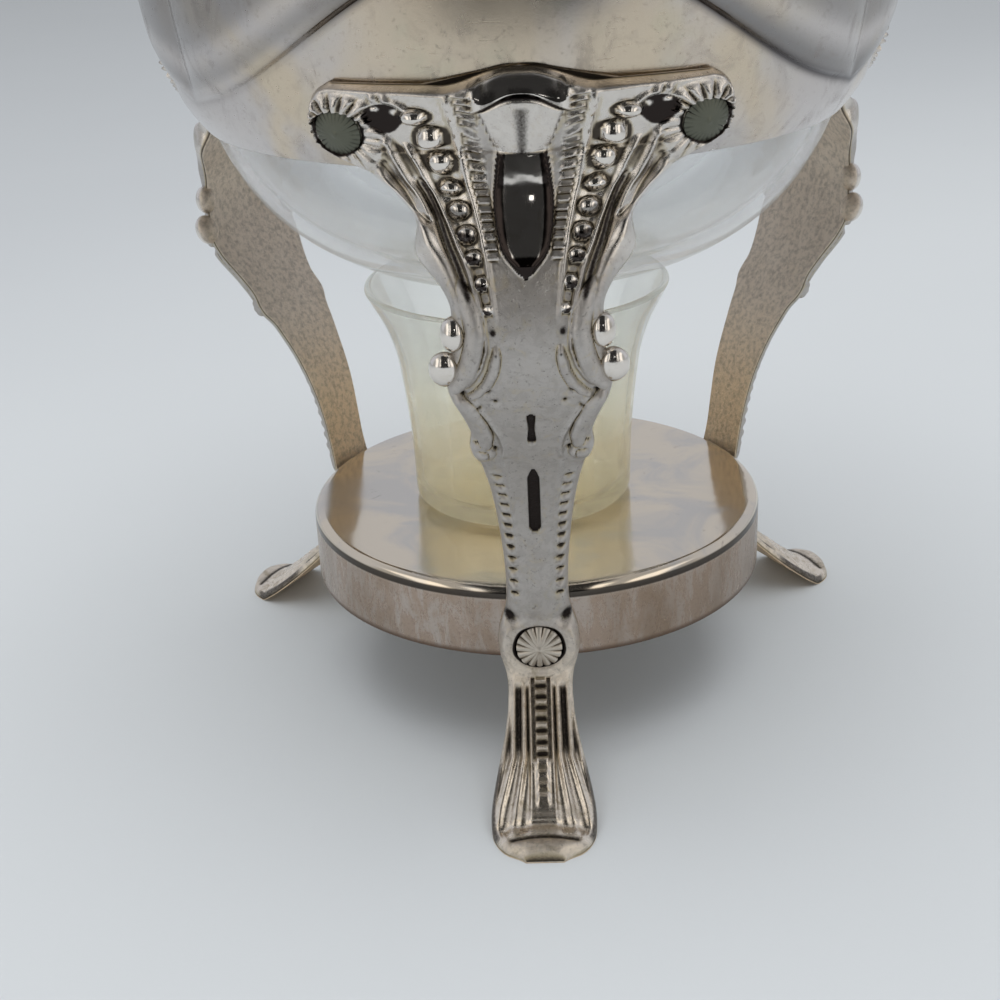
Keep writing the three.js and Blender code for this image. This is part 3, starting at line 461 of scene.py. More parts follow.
def castingFinish():
    # Cast and plated: polished high up, satin below, tarnish in the recesses, rough brown-grey inner face.
    # Marks on the mesh say how deep a place lies, how well it is polished, how much painted shade and painted
    # dark reflection it carries, and whether it is on the inner face or on the foot.
    look, f = castLook, newFinish("Leg casting")
    recess, polish, black, inner, foot = (f.mark(m) for m in ("recess", "polish", "black", "inner", "foot"))
    cloud, patch, pits, tinge, fine, area, spots = f.clouds(
        look, "clouding patching pitting tinging speckling speckArea insideSpots")
    grain = f.noise(0.42, 4.0, 0.7)
    dull = 1.0 - polish
    hollow = f.coats(look["inside"], ((1.0 - f.ramp(f.height(), *look["goldEnd"])) * 0.7, look["insideGold"]),
                     (spots * 0.45, look["insideSpot"]))
    base = f.coats(
        f.mix(polish, look["satin"], look["bright"]), (foot * 0.8, look["footTint"]),
        (patch * dull * 0.28, look["patch"]),
        (f.ramp(recess + tinge * 0.3, 0.12, 0.5) * (0.7 - polish * 0.45), look["tarnish"]),
        (tinge * (0.12 + foot * 0.35), look["brown"]),
        (f.ramp(recess + grain * 0.35, 0.42, 0.85) * 0.55, look["brown"]),
        (f.ramp(recess + grain * 0.3, 0.62, 1.1) * 0.9, look["dark"]),
        ((pits * 0.25 + fine * area * 0.5) * dull, look["dark"]),
        # the black mark lays on painted shade and painted dark reflections in near black
        (f.ramp(black + grain * 0.4, 0.45, 0.95), look["dark"]), (inner, hollow),
    )
    rough = 0.42 - polish * 0.35 + recess * 0.2 + cloud * 0.05 + grain * 0.08 * dull + inner * 0.1
    relief = (grain * 0.1 - pits * 0.06 + patch * 0.03) * dull + f.noise(1.6, 3.0, 0.6) * inner * 0.22
    return f.painted(base, rough, relief + f.noise(5.0, 2.0, 0.5) * 0.1, 0.8, 1.0)


earLook = dict(name="Ear rosette", pale=(0.13, 0.135, 0.105), dull=(0.035, 0.036, 0.03),
               rough=0.42, metallic=0.75)
bossLook = dict(name="Plate rosette", pale=(0.56, 0.51, 0.44), dull=(0.27, 0.23, 0.18),
                rough=0.36, metallic=0.85)


def rosetteFinish(look):
    # Petals wear pale on their crests and stay dull in the lines between
    f = newFinish(look["name"])
    cloud = f.cloud(0.35, 0.7, 1.8, 4.0, 0.6, 0.5)
    base = f.mix(f.ramp(f.mark("recess") + cloud * 0.25, 0.2, 0.9), look["pale"], look["dull"])
    return f.painted(base, look["rough"] + cloud * 0.1, f.noise(0.5, 3.0, 0.6), 0.05, look["metallic"])


carafeLook = dict(name="Carafe glass", low=(0.985, 0.98, 0.95), high=(0.985, 0.985, 0.975),
                  tintEnd=(95.0, 130.0), film=0.012, through=0.5)
cupLook = dict(name="Candle cup glass", low=(0.975, 0.93, 0.78), high=(0.985, 0.98, 0.93),
               tintEnd=(46.0, 86.0), film=0.16, through=0.3)


def glassFinish(look):
    # Clear glass, its tint changing with height, with faint smears and a thin milky film that is thicker low
    # down; a share of the light passes straight through, as in thin glass
    f = newFinish(look["name"])
    up = f.ramp(f.height(), *look["tintEnd"])
    tint = f.mix(up, look["low"], look["high"])
    smear, patch = f.cloud(0.5, 0.75, 16.0, 4.0, 0.6, 0.8), f.cloud(0.3, 0.75, 9.0, 4.0, 0.6, 0.5)
    values = {"Base Color": tint, "Roughness": smear * 0.02, "Transmission Weight": 1.0, "IOR": 1.3}
    glass = f.add("ShaderNodeBsdfPrincipled", {}, values)
    milk = f.add("ShaderNodeBsdfPrincipled", {}, {"Base Color": tint, "Roughness": 0.5})
    filmed = f.blend((look["film"] + patch * look["film"]) * (1.0 - up * 0.75), glass, milk)
    body = f.blend(look["through"], filmed, f.blend(up, f.clear(look["low"]), f.clear(look["high"])))
    shadow = f.add("ShaderNodeLightPath", output="Is Shadow Ray")
    return f.surface(f.blend(shadow, body, f.clear((0.93, 0.94, 0.91))))


def insulatorFinish():
    # Dark moulded washer with a faint sheen and scuffs
    f = newFinish("Insulator")
    scuff = f.cloud(0.55, 0.75, 1.2, 4.0, 0.65, 0.6)
    base = f.mix(scuff, (0.035, 0.032, 0.03), (0.09, 0.085, 0.08))
    return f.painted(base, 0.42 + scuff * 0.18, f.noise(0.5, 3.0), 0.03)


finishes = {
    "plated_sheet": platedSheetFinish(), "plate_top": basePlateFinish(), "leg_casting": castingFinish(),
    "ear_rosette": rosetteFinish(earLook), "plate_rosette": rosetteFinish(bossLook),
    "carafe_glass": glassFinish(carafeLook), "cup_glass": glassFinish(cupLook), "insulator": insulatorFinish(),
}
print("finishes made")


# Base plate

plate = dict(radius=52.0, top=43.6, skirt=16.5, edge=2.1, wall=1.2)


def basePlateProfile():
    # An inverted pan: flat top, quarter-round edge, upright skirt with a small rolled lower edge
    p = plate
    low, inside = p["top"] - p["skirt"], p["edge"] - p["wall"]
    centre = (p["radius"] - p["edge"], p["top"] - p["edge"])
    flat = np.stack([np.linspace(0, centre[0], 26)[:-1], np.full(25, p["top"])], -1)
    under = np.stack([np.linspace(centre[0], 0, 10)[1:], np.full(9, p["top"] - p["wall"])], -1)
    roll = p["wall"] / 2
    foot = arcPairs(p["radius"] - roll, low + roll, roll, 0, -180, 9)
    return np.vstack([flat, arcPairs(*centre, p["edge"], 90, 0, 14), foot,
                      arcPairs(*centre, inside, 0, 90, 8), under])


makePiece("base_plate", revolved(basePlateProfile(), 220), "stand", "plate_top")
print("base plate made")


# Collar

collar = dict(
    bottom=133.5, depth=48.5, wall=1.1, mouth=68.6 * 0.959 + 1.4, belly=77.0, archFoot=10.5, corner=2.6,
    cornerShare=0.06, archRise=28.0, archSharpness=1.25, step=0.8, stepWidth=0.9, bulge=2.0, edgeWidth=7.0,
    creaseShare=0.07, rimFadeShare=0.8, wire=1.7, wireGap=0.3, columns=520, warmAngle=32,
)
collarShares = [[0, 0], [0.14, 0.035], [0.43, 0.13], [0.61, 0.28], [0.76, 0.46], [0.88, 0.67], [1, 1]]
collarCurve = sharesPath(collarShares, collar["mouth"], collar["belly"], collar["bottom"], collar["depth"], 24)


def collarRadius(height):
    # Radius of the collar's plain outer face, read off its smooth profile
    return np.interp(height, collarCurve[:, 1], collarCurve[:, 0])


def fromMiddle(angle):
    # Share of a third of a turn between an angle and the nearest middle between two legs
    between = (angle * 3 / (2 * np.pi) + 0.5) % 1
    return np.minimum(between, 1 - between)


def archHeight(angle):
    # Lower edge of the lobes: highest over each leg, falling to a sharp corner midway between two legs
    c = collar
    corner = np.exp(-fromMiddle(angle) / c["cornerShare"])
    arch = c["archRise"] * ((1 + np.cos(3 * angle)) / 2) ** c["archSharpness"]
    return c["bottom"] + c["archFoot"] + arch - c["corner"] * corner


def lobeReach(angle, height, above):
    # Pressed lobes, one between each two legs: nothing under an arch that is lowest midway between the legs,
    # then a small step and a swell, fading at the rim and drawn in to a crease at the middle
    c = collar
    step = c["step"] * ease(above, 0, c["stepWidth"])
    swell = c["bulge"] * (1 - (1 - np.clip(above / c["edgeWidth"], 0, 1)) ** 2)
    share = (height - c["bottom"] - c["archFoot"]) / (c["depth"] - c["archFoot"])
    fade = np.clip((1 - share) / (1 - c["rimFadeShare"]), 0, 1)
    return (step + swell) * (1 - np.exp(-fromMiddle(angle) / c["creaseShare"])) * fade


def collarGrid():
    # The outer face from the lower edge up, then the inner face a wall further in, down again. The rows are
    # spaced so that one of them follows the foot of the arch.
    c = collar
    a = circle(c["columns"])[None, :]
    low, high, arch = c["bottom"], c["bottom"] + c["depth"], archHeight(a)
    under = np.linspace(0, 1, 44)[:-1, None] ** 1.3
    over = np.linspace(0, 1, 9)[:, None] * c["stepWidth"]
    rest = np.linspace(0, 1, 40)[1:, None]
    height = np.vstack([lerp(low, arch, under), arch + over, lerp(arch + c["stepWidth"], high, rest)])
    above = height - arch
    outer = collarRadius(height) + lobeReach(a, height, above)

    # lobes get painted shade, darkest along their edge, with a paler stripe further up as a painted highlight,
    # and a painted shadow line just above the arch; on the left one, whose edge the light falls on, that edge
    # is painted pale and the line is fainter
    warm = hump(np.arccos(np.cos(3 * a)) / 3, np.radians(c["warmAngle"])) + 0 * height
    beside = ease(np.abs(np.sin(1.5 * a)), 0.25, 0.5)
    leftLit = ease(-np.sin(a), 0.3, 0.6)
    lobe = ease(above, 0, 1.2) * (0.8 + 0.4 * hump(above - 2.2, 1.8) - 0.8 * hump(above - 7.6, 2.4) * beside)
    lobe = lobe * (1 - 0.9 * leftLit * beside * hump(above - 1.0, 2.2))
    line = hump(above - 0.2, 1.0) * beside * (1 - 0.75 * leftLit)
    marks = {"warm": (warm, warm[::-1]), "lobe": (lobe, 0 * lobe), "line": (line, 0 * line)}
    rows = [around(a, outer, height), around(a, outer - c["wall"], height)[::-1]]
    return np.vstack(rows), {name: np.vstack(faces) for name, faces in marks.items()}


collarPoints, collarMarks = collarGrid()
makePiece("collar", collarPoints, "stand", "plated_sheet", wrapRows=True, marks=collarMarks, sharpAngle=60)
rimMiddle = collar["bottom"] + collar["depth"] + collar["wireGap"] + collar["wire"]
wireProfile = arcPairs(collar["belly"] - collar["wall"] / 2, rimMiddle, collar["wire"], 0, 360, 25)[:-1]
makePiece("collar_rim_wire", revolved(wireProfile, 240), "stand", "plated_sheet", wrapRows=True)
print("collar made")


# Cast legs

leg = dict(
    frontColumns=175, backColumns=5, edgeDepth=2.0, crown=1.9, seatGap=0.3, top=153.5, topGap=1.1,
    waveDepth=2.8, waveStart=1.5, waveEnd=13.5, waveReach=10.0, earSpan=31.6, earDown=11.9, earHeight=142.0,
    length=180.67, thinEdge=0.35, knee=collar["mouth"] + 12.8, toe=plate["radius"] + 34.5,
    bossDown=130.4, ballDepth=2.3, flatShare=0.6,
)
legTurns = {"front": 0, "back_right": 120, "back_left": -120}
# Rows of the mesh: to which distance down the leg, and how far apart
rowSpans = [(62, 0.26), (82, 0.36), (118, 0.5), (158, 0.38), (leg["length"], 0.5)]
# Outline of one side: distance down the leg from its top edge, and half-width there
outline = np.array([
    (0, 33.6), (0.8, 35.2), (2, 36.4), (4, 37.4), (8, 37.9), (12, 37.9), (14.5, 37.4),
    (16.2, 35.6), (17.4, 32.8), (18.6, 29.6), (19.6, 27.0), (21, 24.6), (22.8, 22.9), (24.6, 21.4),
    (26.2, 19.9), (27.8, 18.9), (29.4, 18.6), (31.2, 19.0), (33, 19.3), (34.6, 18.9), (36.6, 17.4),
    (38.8, 15.5), (41, 14.1), (43, 13.3), (45, 13.2), (48, 13.1), (50.5, 13.2), (53, 14.2),
    (56, 15.0), (59, 14.8), (62, 14.2), (65, 13.1), (68.5, 12.0), (72, 11.2), (74, 11.4),
    (76.4, 11.8), (78.6, 11.3), (80.4, 10.2), (84, 9.5), (90, 8.4), (96, 7.7), (102, 7.1),
    (109, 6.5), (115, 6.3), (120, 6.5), (123.4, 7.2), (126.4, 8.2), (130, 8.6), (133.6, 8.2),
    (137, 7.1), (140.4, 6.7), (146, 7.0), (151, 7.7), (156, 8.8), (161, 9.8), (165, 10.5),
    (168.4, 10.8), (172, 10.6), (174.6, 9.9), (176.6, 8.9), (178.2, 7.7), (179.4, 6.2), (180.2, 4.4),
    (180.7, 2.2),
])
# Pearls of one side: place down and across, and size
pearls = np.array([
    (7.3, 17.5, 2.3), (12.0, 14.95, 2.3), (17.0, 13.3, 2.1), (21.9, 11.9, 1.95), (26.8, 10.75, 1.85),
    (31.5, 9.65, 1.7), (35.7, 8.6, 1.45), (39.7, 7.5, 1.15), (43.5, 6.6, 0.85),
])
deepPits = [(57.9, 7.4, 0.75), (60.4, 6.2, 0.6), (61.9, 9.2, 0.55), (58.6, 12.0, 0.6), (74.2, 6.9, 0.5)]
# Raised lines of one side as [(s, v), ...], with width and height; negative heights are cut in
legLines = [
    ([(0.5, 12.3), (20, 9.2), (35, 6.7), (47, 5.2)], 0.5, 0.7),
    ([(12.5, 19.8), (18.5, 16.6), (24, 14.6), (31, 12.2), (38, 9.6), (45, 7.9)], 0.62, 1.05),
    ([(11.5, 23.2), (17.2, 20.9), (21.5, 18.5), (26.2, 16.2), (29, 15.2)], 0.75, 1.05),
    ([(19.5, 17.4), (23.2, 15.9), (27.5, 14.4), (32, 13.2), (38.2, 11.0), (43.5, 9.2)], 0.8, -1.5),
    ([(17.0, 24.0), (22.4, 20.4), (26.8, 18.0), (30, 15.4)], 0.6, -0.8),
    ([(40.0, 8.5), (41.6, 8.1), (45.7, 7.2), (49.7, 7.3), (52.9, 8.4), (55.4, 10.0), (57.2, 11.4)], 0.34, 0.75),
    ([(58.6, 11.6), (60.4, 10.1), (65, 7.8), (69.8, 5.9), (73.6, 5.2), (77.6, 5.5)], 0.45, 0.6),
    ([(61.4, 12.6), (65.6, 9.6), (70.4, 7.2), (73.0, 6.6)], 0.3, -0.7),
    ([(46.6, 4.6), (50.8, 4.2), (55.2, 4.9), (58.8, 6.6), (61.4, 8.6)], 0.34, -0.55),
    ([(78.0, 5.4), (84, 4.9), (92, 4.4), (107.5, 3.8)], 0.4, 0.3),
    ([(78.6, 0.0), (78.9, 2.2), (80.6, 3.6)], 0.24, -0.14),
    ([(157.5, 3.0), (166.7, 5.0), (178.0, 5.9)], 0.34, -0.7),
    ([(166.9, 0.0), (166.9, 5), (166.0, 10.5)], 0.3, -0.4),
    ([(173.4, 0.0), (173.6, 5.4)], 0.22, -0.25),
]
# Round rolls of one side, meeting in sharp creases: [(s, v), ...], half-width and height
legRolls = [
    ([(38.5, 12.3), (41.6, 10.4), (44.6, 9.4), (47, 9.0), (49.7, 9.5), (52.2, 10.3), (55.0, 11.6),
      (57.0, 13.2)], 1.75, 1.6),
    ([(48.6, 5.5), (50.7, 5.6), (53.6, 6.3), (56.4, 7.7), (58.2, 9.2), (59.0, 10.4)], 0.95, 0.95),
    ([(58.4, 13.6), (59.6, 12.8), (62.5, 11.3), (67, 9.5), (70.4, 8.7), (72.6, 8.6)], 1.75, 1.55),
]
# Balls of one side that stand out over the edge: place down and across, half-length, half-width, height of
# middle, polish
scrollBalls = [(47.7, 12.9, 3.3, 2.45, 1.0, 0.9), (54.2, 14.8, 3.5, 2.95, 1.2, 0.9)]


def legCentreline():
    # Back face of the leg as (reach, height): down the collar, out to the knee, in to the plate, out along the
    # foot. Its places are shares of the way between the collar, the knee, the plate and the toe.
    g, c, p = leg, collar, plate
    low = p["top"] - p["skirt"]
    levels = [g["top"]] + [c["bottom"] + c["depth"] * k for k in (0.37, 0.28, 0.205, 0.13)]
    path = [(collarRadius(z) + g["seatGap"], z) for z in levels]
    for up, out in ((1.02, 0.34), (0.975, 0.34), (0.922, 0.45), (0.861, 0.67), (0.794, 0.91)):
        path.append((lerp(c["mouth"], g["knee"], out), lerp(p["top"], c["bottom"], up)))
    for up, out in ((0.722, 1), (0.655, 0.964), (0.588, 0.871), (0.516, 0.736), (0.444, 0.586), (0.372, 0.439),
                    (0.288, 0.3), (0.199, 0.19), (0.11, 0.123), (0.038, 0.085), (-0.02, 0.05)):
        path.append((lerp(p["radius"], g["knee"], out), lerp(p["top"], c["bottom"], up)))
    for down in (0.4, 0.62, 0.9):
        path.append((p["radius"] + g["seatGap"], lerp(p["top"], low, down)))
    for up, out in ((0.92, 0.04), (0.738, 0.125), (0.554, 0.256), (0.358, 0.412), (0.185, 0.568), (0.06, 0.7),
                    (0, 0.784), (0, 0.9), (0, 1)):
        path.append((lerp(p["radius"], g["toe"], out), low * up))
    return smoothPath(path, 30)


class Relief:
    # The front of a leg while its ornament is laid on, drawn for one side and mirrored. s runs down the leg, v
    # sideways from its middle. Black is the deepest of the painted shade and painted dark reflections laid on a
    # place; the painted shade of the deepest cuts, pits and gaps is added to it at the foot.

    def __init__(self, s, v, half):
        self.s, self.v = s, v
        self.fromEdge, self.side = half - v, np.clip(v / half, 0, 1)
        self.height, self.black, self.hollowShade = (np.zeros(s.shape) for _ in range(3))
        self.polish = 0.62 * fall(s, 33, 41) + 0.04

    def near(self, at, across):
        # Distance from a place of the face
        return np.hypot(self.s - at, self.v - across)

    def along(self, places, values):
        # Values read off straight lines between places down the leg
        return np.interp(self.s[:, :1], places, values)

    def darken(self, *amounts):
        # Black is the largest of the amounts laid on a place
        for amount in amounts:
            self.black = np.maximum(self.black, amount)

    def shine(self, share, value):
        # Polish moves a share of the way to a value
        self.polish = lerp(self.polish, value, share)


def addEar(r):
    # Rolled rim, flutes as powers of a cosine round the rosette, tongues along the top, a polished bowl with
    # its lip and glints, and a moat; then folds down the edge, with a smooth lobe where the outline swells
    s, v, g = r.s, r.v, leg
    away, turn = r.near(g["earDown"], g["earSpan"]), np.arctan2(v - g["earSpan"], g["earDown"] - s)
    onEar = ease(v, 17, 24) * fall(s, 18, 22)
    rim = hump(r.fromEdge - 1.5, 1.0) * ease(v, 20, 27) * fall(s, 15, 19)
    topRim = hump(s - 0.9, 0.5) * ease(v, 12, 20)
    flutes = np.abs(np.cos(10.5 * turn)) ** 0.55
    ring = band(away, 4.6, 5.2, 8.6, 10.6) * ease(r.fromEdge, 0.6, 1.5) * ease(s, 0.7, 1.5) * onEar
    outward = 0.35 + 0.65 * ease(np.cos(turn - 0.5), -0.4, 0.5)
    fluted = 1.5 * flutes * outward * (1 - 0.4 * ease(away, 6.5, 9)) + 0.1
    tongues = 0.7 * (ripple(v + 0.25 * s, 2.1) ** 0.7 - 0.15) * hump(s - 2.6, 1.2) * band(v, 20, 22.5, 25, 27)
    hollow = r.near(7.7, 22.8) / 3.9
    mirror = fall(hollow, 0.85, 1.05)
    bowl = 1.3 * mirror * np.clip(1 - hollow**2, 0, 1)
    lip = 0.8 * hump(hollow - 1.14, 0.16) * ease(24 - v - 0.6 * s, -2, 3)
    glint = np.maximum(hump(r.near(6.3, 20.6), 0.9), hump(r.near(5.6, 24.2), 0.7))
    moat = 0.5 * onEar * hump(away - 9.6, 0.8) * ease(s, 6, 12)
    r.height += ring * fluted + 0.55 * np.maximum(rim, topRim) + tongues - bowl + lip + 0.7 * glint - moat
    r.polish = lerp(r.polish - 0.15 * (onEar - 0.4 * ring), 1.0, mirror)
    # painted dark reflection fills the bowl, less at its glints; painted shade lies in the flutes' grooves and
    # the seat ring
    r.darken(mirror * (0.84 - 0.75 * glint) * ease(away, 5.2, 5.8)
             + 0.5 * ring * ease(1 - flutes, 0.3, 0.75) * (1 - mirror)
             + hump(away - 4.75, 0.45) * onEar * ease(r.fromEdge, 0.9, 1.8))
    roll = r.along([14, 19.2, 22.5, 26.2, 30.5, 36, 41, 46], [27.5, 24.3, 21.6, 18.8, 16.7, 14.4, 12.0, 11.0])
    r.height += 1.3 * hump(s - 31.2, 4.2) * hump(v - 17.0, 2.3)
    r.height += 1.35 * hump(v - roll, 1.9) * band(s, 14, 22, 41, 47)


def addPearls(r):
    # Balls' caps in a trough, each shaded below, with two small pits where the trough ends
    s, v = r.s, r.v
    near = np.full(s.shape, 9.0)
    for at, across, size in pearls:
        distance = r.near(at, across)
        inside = distance < size
        r.darken(0.72 * ease((s - at + 0.3 * (v - across)) / size, -0.25, 0.25) * inside * ease(at, 10, 34))
        r.height = np.maximum(r.height, cap(distance, size, size * 0.95) + 0.1 * inside)
        near = np.minimum(near, distance - size)
    trough = r.along(pearls[:, 0], pearls[:, 1])
    gutter = hump(v - trough, 1.1) * ease(near, -0.05, 0.3) * band(s, 9, 12, 46, 49)
    r.pits = hump(r.near(47.0, 5.9), 0.62) + hump(r.near(50.2, 5.6), 0.4)
    r.height -= 0.5 * gutter + 0.7 * r.pits
    # painted shade along the trough round the pearls
    r.hollowShade += 0.35 * gutter
    r.polish = np.maximum(r.polish, 0.9 * fall(near, -0.1, 0.2))


def addLadder(r):
    # Ribbed ladder beside the middle: a raised strip, thin dark cuts under bright bars
    s, v = r.s, r.v
    middle, wide = r.along([0, 35.5], [9.6, 5.3]), r.along([0, 35.5], [1.5, 0.85])
    strip = fall(np.abs(v - middle), wide * 0.9, wide * 1.05) * band(s, 0.8, 1.6, 35.5, 37.5)
    step = (s + 0.55 * fall(s, 10, 22) * (v - middle)) / 1.75 % 1
    r.height += strip * (0.12 + 0.4 * hump(step - 0.5, 0.2) - 0.5 * hump(step - 0.78, 0.09))
    r.shine(strip, 0.5)
    r.inside = fall(v - middle, -wide - 0.5, -wide)


def addDrop(r):
    # Hood over the middle of the top edge, a trumpet under it that narrows, and the long polished drop
    s, v = r.s, r.v
    halfDrop = r.along([4, 6, 8, 10, 12, 14, 15.7, 19, 23, 27, 31, 34.5, 36.5, 38.6, 39.4],
                       [8.2, 7.7, 6.9, 6.1, 5.3, 4.6, 4.2, 4.6, 5.0, 5.1, 4.85, 4.2, 3.2, 1.2, 0.01])
    u = np.clip(v / halfDrop, 0, 1)
    stepAt = 4.2 + 2.6 * ease(v, 0, 7.6) ** 1.4
    below = ease(s - stepAt, -0.1, 0.3)
    onBody = ease(s - 0.25 * hump(v, 3), 15.2, 15.5)
    onDrop = fall(u, 0.96, 1.0) * below * (s < 39.4)
    hood = 1.3 * fall(v, 7.2, 8.4)
    trumpet = 1.4 * (1 - u**2) + 0.2 * fall(u, 0.9, 1.0)
    body = (1.25 * fall(u, 0.93, 1.0) + 0.5 * (1 - u**2) + 0.25) * fall(s, 37.6, 39.4)
    cut = 0.6 * hump(s - stepAt, 0.35) * (v < 7.6)
    r.height += (lerp(hood, lerp(trumpet, body, onBody), below) - cut) * (s < 39.5)
    r.flank = (1 - onDrop) * r.inside * below * fall(s, 40, 44)
    r.shine(r.flank, 0.22)
    r.shine(onDrop, lerp(0.62, 1.0, onBody))
    r.shine((1 - below) * fall(v, 6.6, 8.0), 0.95)
    # painted dark reflections on the drop's sides and tip, the hood and the trumpet's streaks; painted shade in
    # the step's cut
    shade = 1.2 * onDrop * onBody * ease(u, 0.55, 0.75)
    shade += 0.52 * (1 - below) * ease(s, 1.6, 3.4) * (1 - hump(v - 2.9, 0.8)) * fall(v, 5.6, 7.8)
    shade += onDrop * (1 - onBody) * (0.62 * hump(u, 0.24) + 0.6 * ease(u, 0.78, 0.95)) * ease(s, 4.5, 7)
    r.darken(shade, onDrop * ease(s, 35.5, 37), hump(s - stepAt, 0.5) * fall(v, 6.6, 7.6))


def addLines(r):
    # Raised and cut lines, rounded rolls, the curl under the scrolls, and deep pits; the deepest cut is stained
    for points, width, height in legLines:
        distance, passed = nearLine(r.s, r.v, points)
        ends = band(passed, 0, 0.08, 0.92, 1) if points[0][1] > 0 else 1.0
        r.height += height * hump(distance, width) * ends
        if height < -1.2:
            # painted shade along the deepest cut
            r.hollowShade += 0.75 * hump(distance, width * 0.85) * ends
    for points, width, height in legRolls:
        distance, passed = nearLine(r.s, r.v, points)
        thick = width * (0.45 + 0.55 * ease(passed, 0, 0.3) * (1 - 0.5 * ease(passed, 0.8, 1)))
        swell = cap(distance, thick, 1) * ease(passed, 0, 0.12)
        r.height = np.maximum(r.height, lerp(r.height * 0.4, height, swell) * (swell > 0.02))
    fromCurl = r.near(75.4, 9.2)
    r.height = np.maximum(r.height, cap(fromCurl, 2.5, 1.9)) - 0.5 * hump(fromCurl - 1.3, 0.28) * (r.v > 8)
    for at, across, size in deepPits:
        r.pits = np.maximum(r.pits, hump(r.near(at, across), size))


def addShank(r):
    # Beads down both edges of the shank, and in its middle a dumbbell slot over a spindle-shaped one
    s, v = r.s, r.v
    fromBead = v - r.along([80, 87, 95, 107, 117], [7.3, 6.4, 5.6, 4.9, 4.6])
    stops = ripple(s - 86.9, 2.95)
    shank = band(s, 82, 85, 116, 119)
    dumbbell = np.hypot(np.maximum(np.abs(s - 68.1) - 3.5, 0), v) - lerp(0.85, 0.6, hump(s - 68.1, 2.2))
    ends = np.clip((s - 80.8) / 3.4, 0, 1) ** 0.6 * np.clip((100.4 - s) / 1.3, 0, 1) ** 0.5
    spindle = np.where(np.abs(s - 90.6) < 9.8, v - 1.15 * ends, 1.0)
    slot = fall(np.where(s < 76, dumbbell, spindle), -0.12, 0.12)
    r.height += shank * hump(fromBead, 0.8) * (0.45 - 1.25 * stops**2)
    r.height -= 0.75 * slot + 0.6 * r.pits * ease(s, 54, 56)
    # painted shade in the slots, and in the pits and the gaps between the beads
    r.darken(0.9 * slot)
    r.hollowShade += 0.7 * r.pits + 0.8 * shank * hump(fromBead, 0.5) * ease(stops, 0.75, 1)


def addFoot(r):
    # Boss with its sunk seat and the notches over it; below it rungs in a well, flutes beside them, a row of
    # knots, a swell and the cut before the toe's lip
    s, v = r.s, r.v
    r.black += r.hollowShade
    fromBoss = r.near(leg["bossDown"], 0)
    bossTop = 3.5 - 0.6 * fall(fromBoss, 4.8, 5.2) + 0.25 * hump(fromBoss - 6.1, 0.9)
    r.height = lerp(r.height, bossTop, fall(fromBoss, 7.3, 8.7))
    notch = hump(np.hypot((s - 122.9) * 0.8 + (v - 5.9) * 0.25, v - 5.9), 1.5)
    rungs = ripple(s - 139.4, 2.48) ** 1.5
    well = fall(v, 1.8, 2.2) * band(s, 138.2, 139, 156, 158)
    flute = ripple(v / r.along([139, 156, 167, 178], [2.15, 2.3, 3.4, 4.1]) - 0.62, 1) ** 1.4
    fluted = band(s, 139.5, 141.5, 171, 177.5) * ease(v, 2.2, 2.9) * fall(r.side, 0.84, 0.97)
    knots = 0.35 * fall(v, 0.9, 1.8) + 0.35 * ripple(s - 157.4, 2.6) * fall(v, 0.7, 1.5)
    lastCut = hump(s - 176.4, 0.9) * fall(v, 6.5, 8)
    r.height += well * (1.15 * rungs * fall(v, 1.0, 1.5) - 0.75) - 1.5 * notch - 0.5 * lastCut
    r.height -= fluted * (1 - flute) * lerp(1.15, 0.8, ease(s, 153, 160))
    r.height += knots * band(s, 156, 157.5, 166, 168) + 0.4 * hump(s - 171, 5.0) * (1 - r.side**4)
    # painted shade in the boss's seat ring, the notches, between the rungs, in the flutes' grooves, the last
    # cut and along the foot's edges
    r.darken(0.9 * fall(fromBoss, 5.3, 5.9), 0.9 * notch, 0.6 * well * np.maximum(1 - rungs, ease(v, 1.1, 1.4)),
             fluted * ease(1 - flute, 0.25, 0.8) * lerp(0.7, 0.2, ease(s, 153, 158)),
             0.62 * band(s, 150, 160, 174, 177) * fall(r.fromEdge, 0.5, 1.5), 0.7 * lastCut)
    r.polish = np.maximum(r.polish, 0.55 * band(s, 153, 158, 176, 177))


def legDepth(s, out, half):
    # Height of the front face over the back face, in millimetres: a crowned strip with the ornament on it, with
    # rounded edges and rounded ends at the top and the toe. With it go polish, blackness and how far a place
    # keeps its recess shading.
    g, r = leg, Relief(s, np.abs(out), half)
    for add in (addEar, addPearls, addLadder, addDrop, addLines, addShank):
        add(r)
    r.height += g["edgeDepth"] + g["crown"] * (1 - r.side**2) * lerp(1, 0.8, ease(s, 20, 60))
    addFoot(r)
    fromTop = np.clip(s / (1.9 + 3.5 * fall(r.v, 6, 9)), 0, 1)
    share = arc(r.fromEdge / (1.5 + 0.5 * ease(s, 140, 160))) * arc((g["length"] - s) / 1.6)
    share = share * (0.3 * arc(fromTop) + 0.7 * np.sin(np.pi / 2 * fromTop))
    level = np.maximum(lerp(g["thinEdge"], r.height, share), 0.3)
    return level, np.clip(r.polish, 0, 1), np.clip(r.black, 0, 1), 1 - 0.85 * r.flank


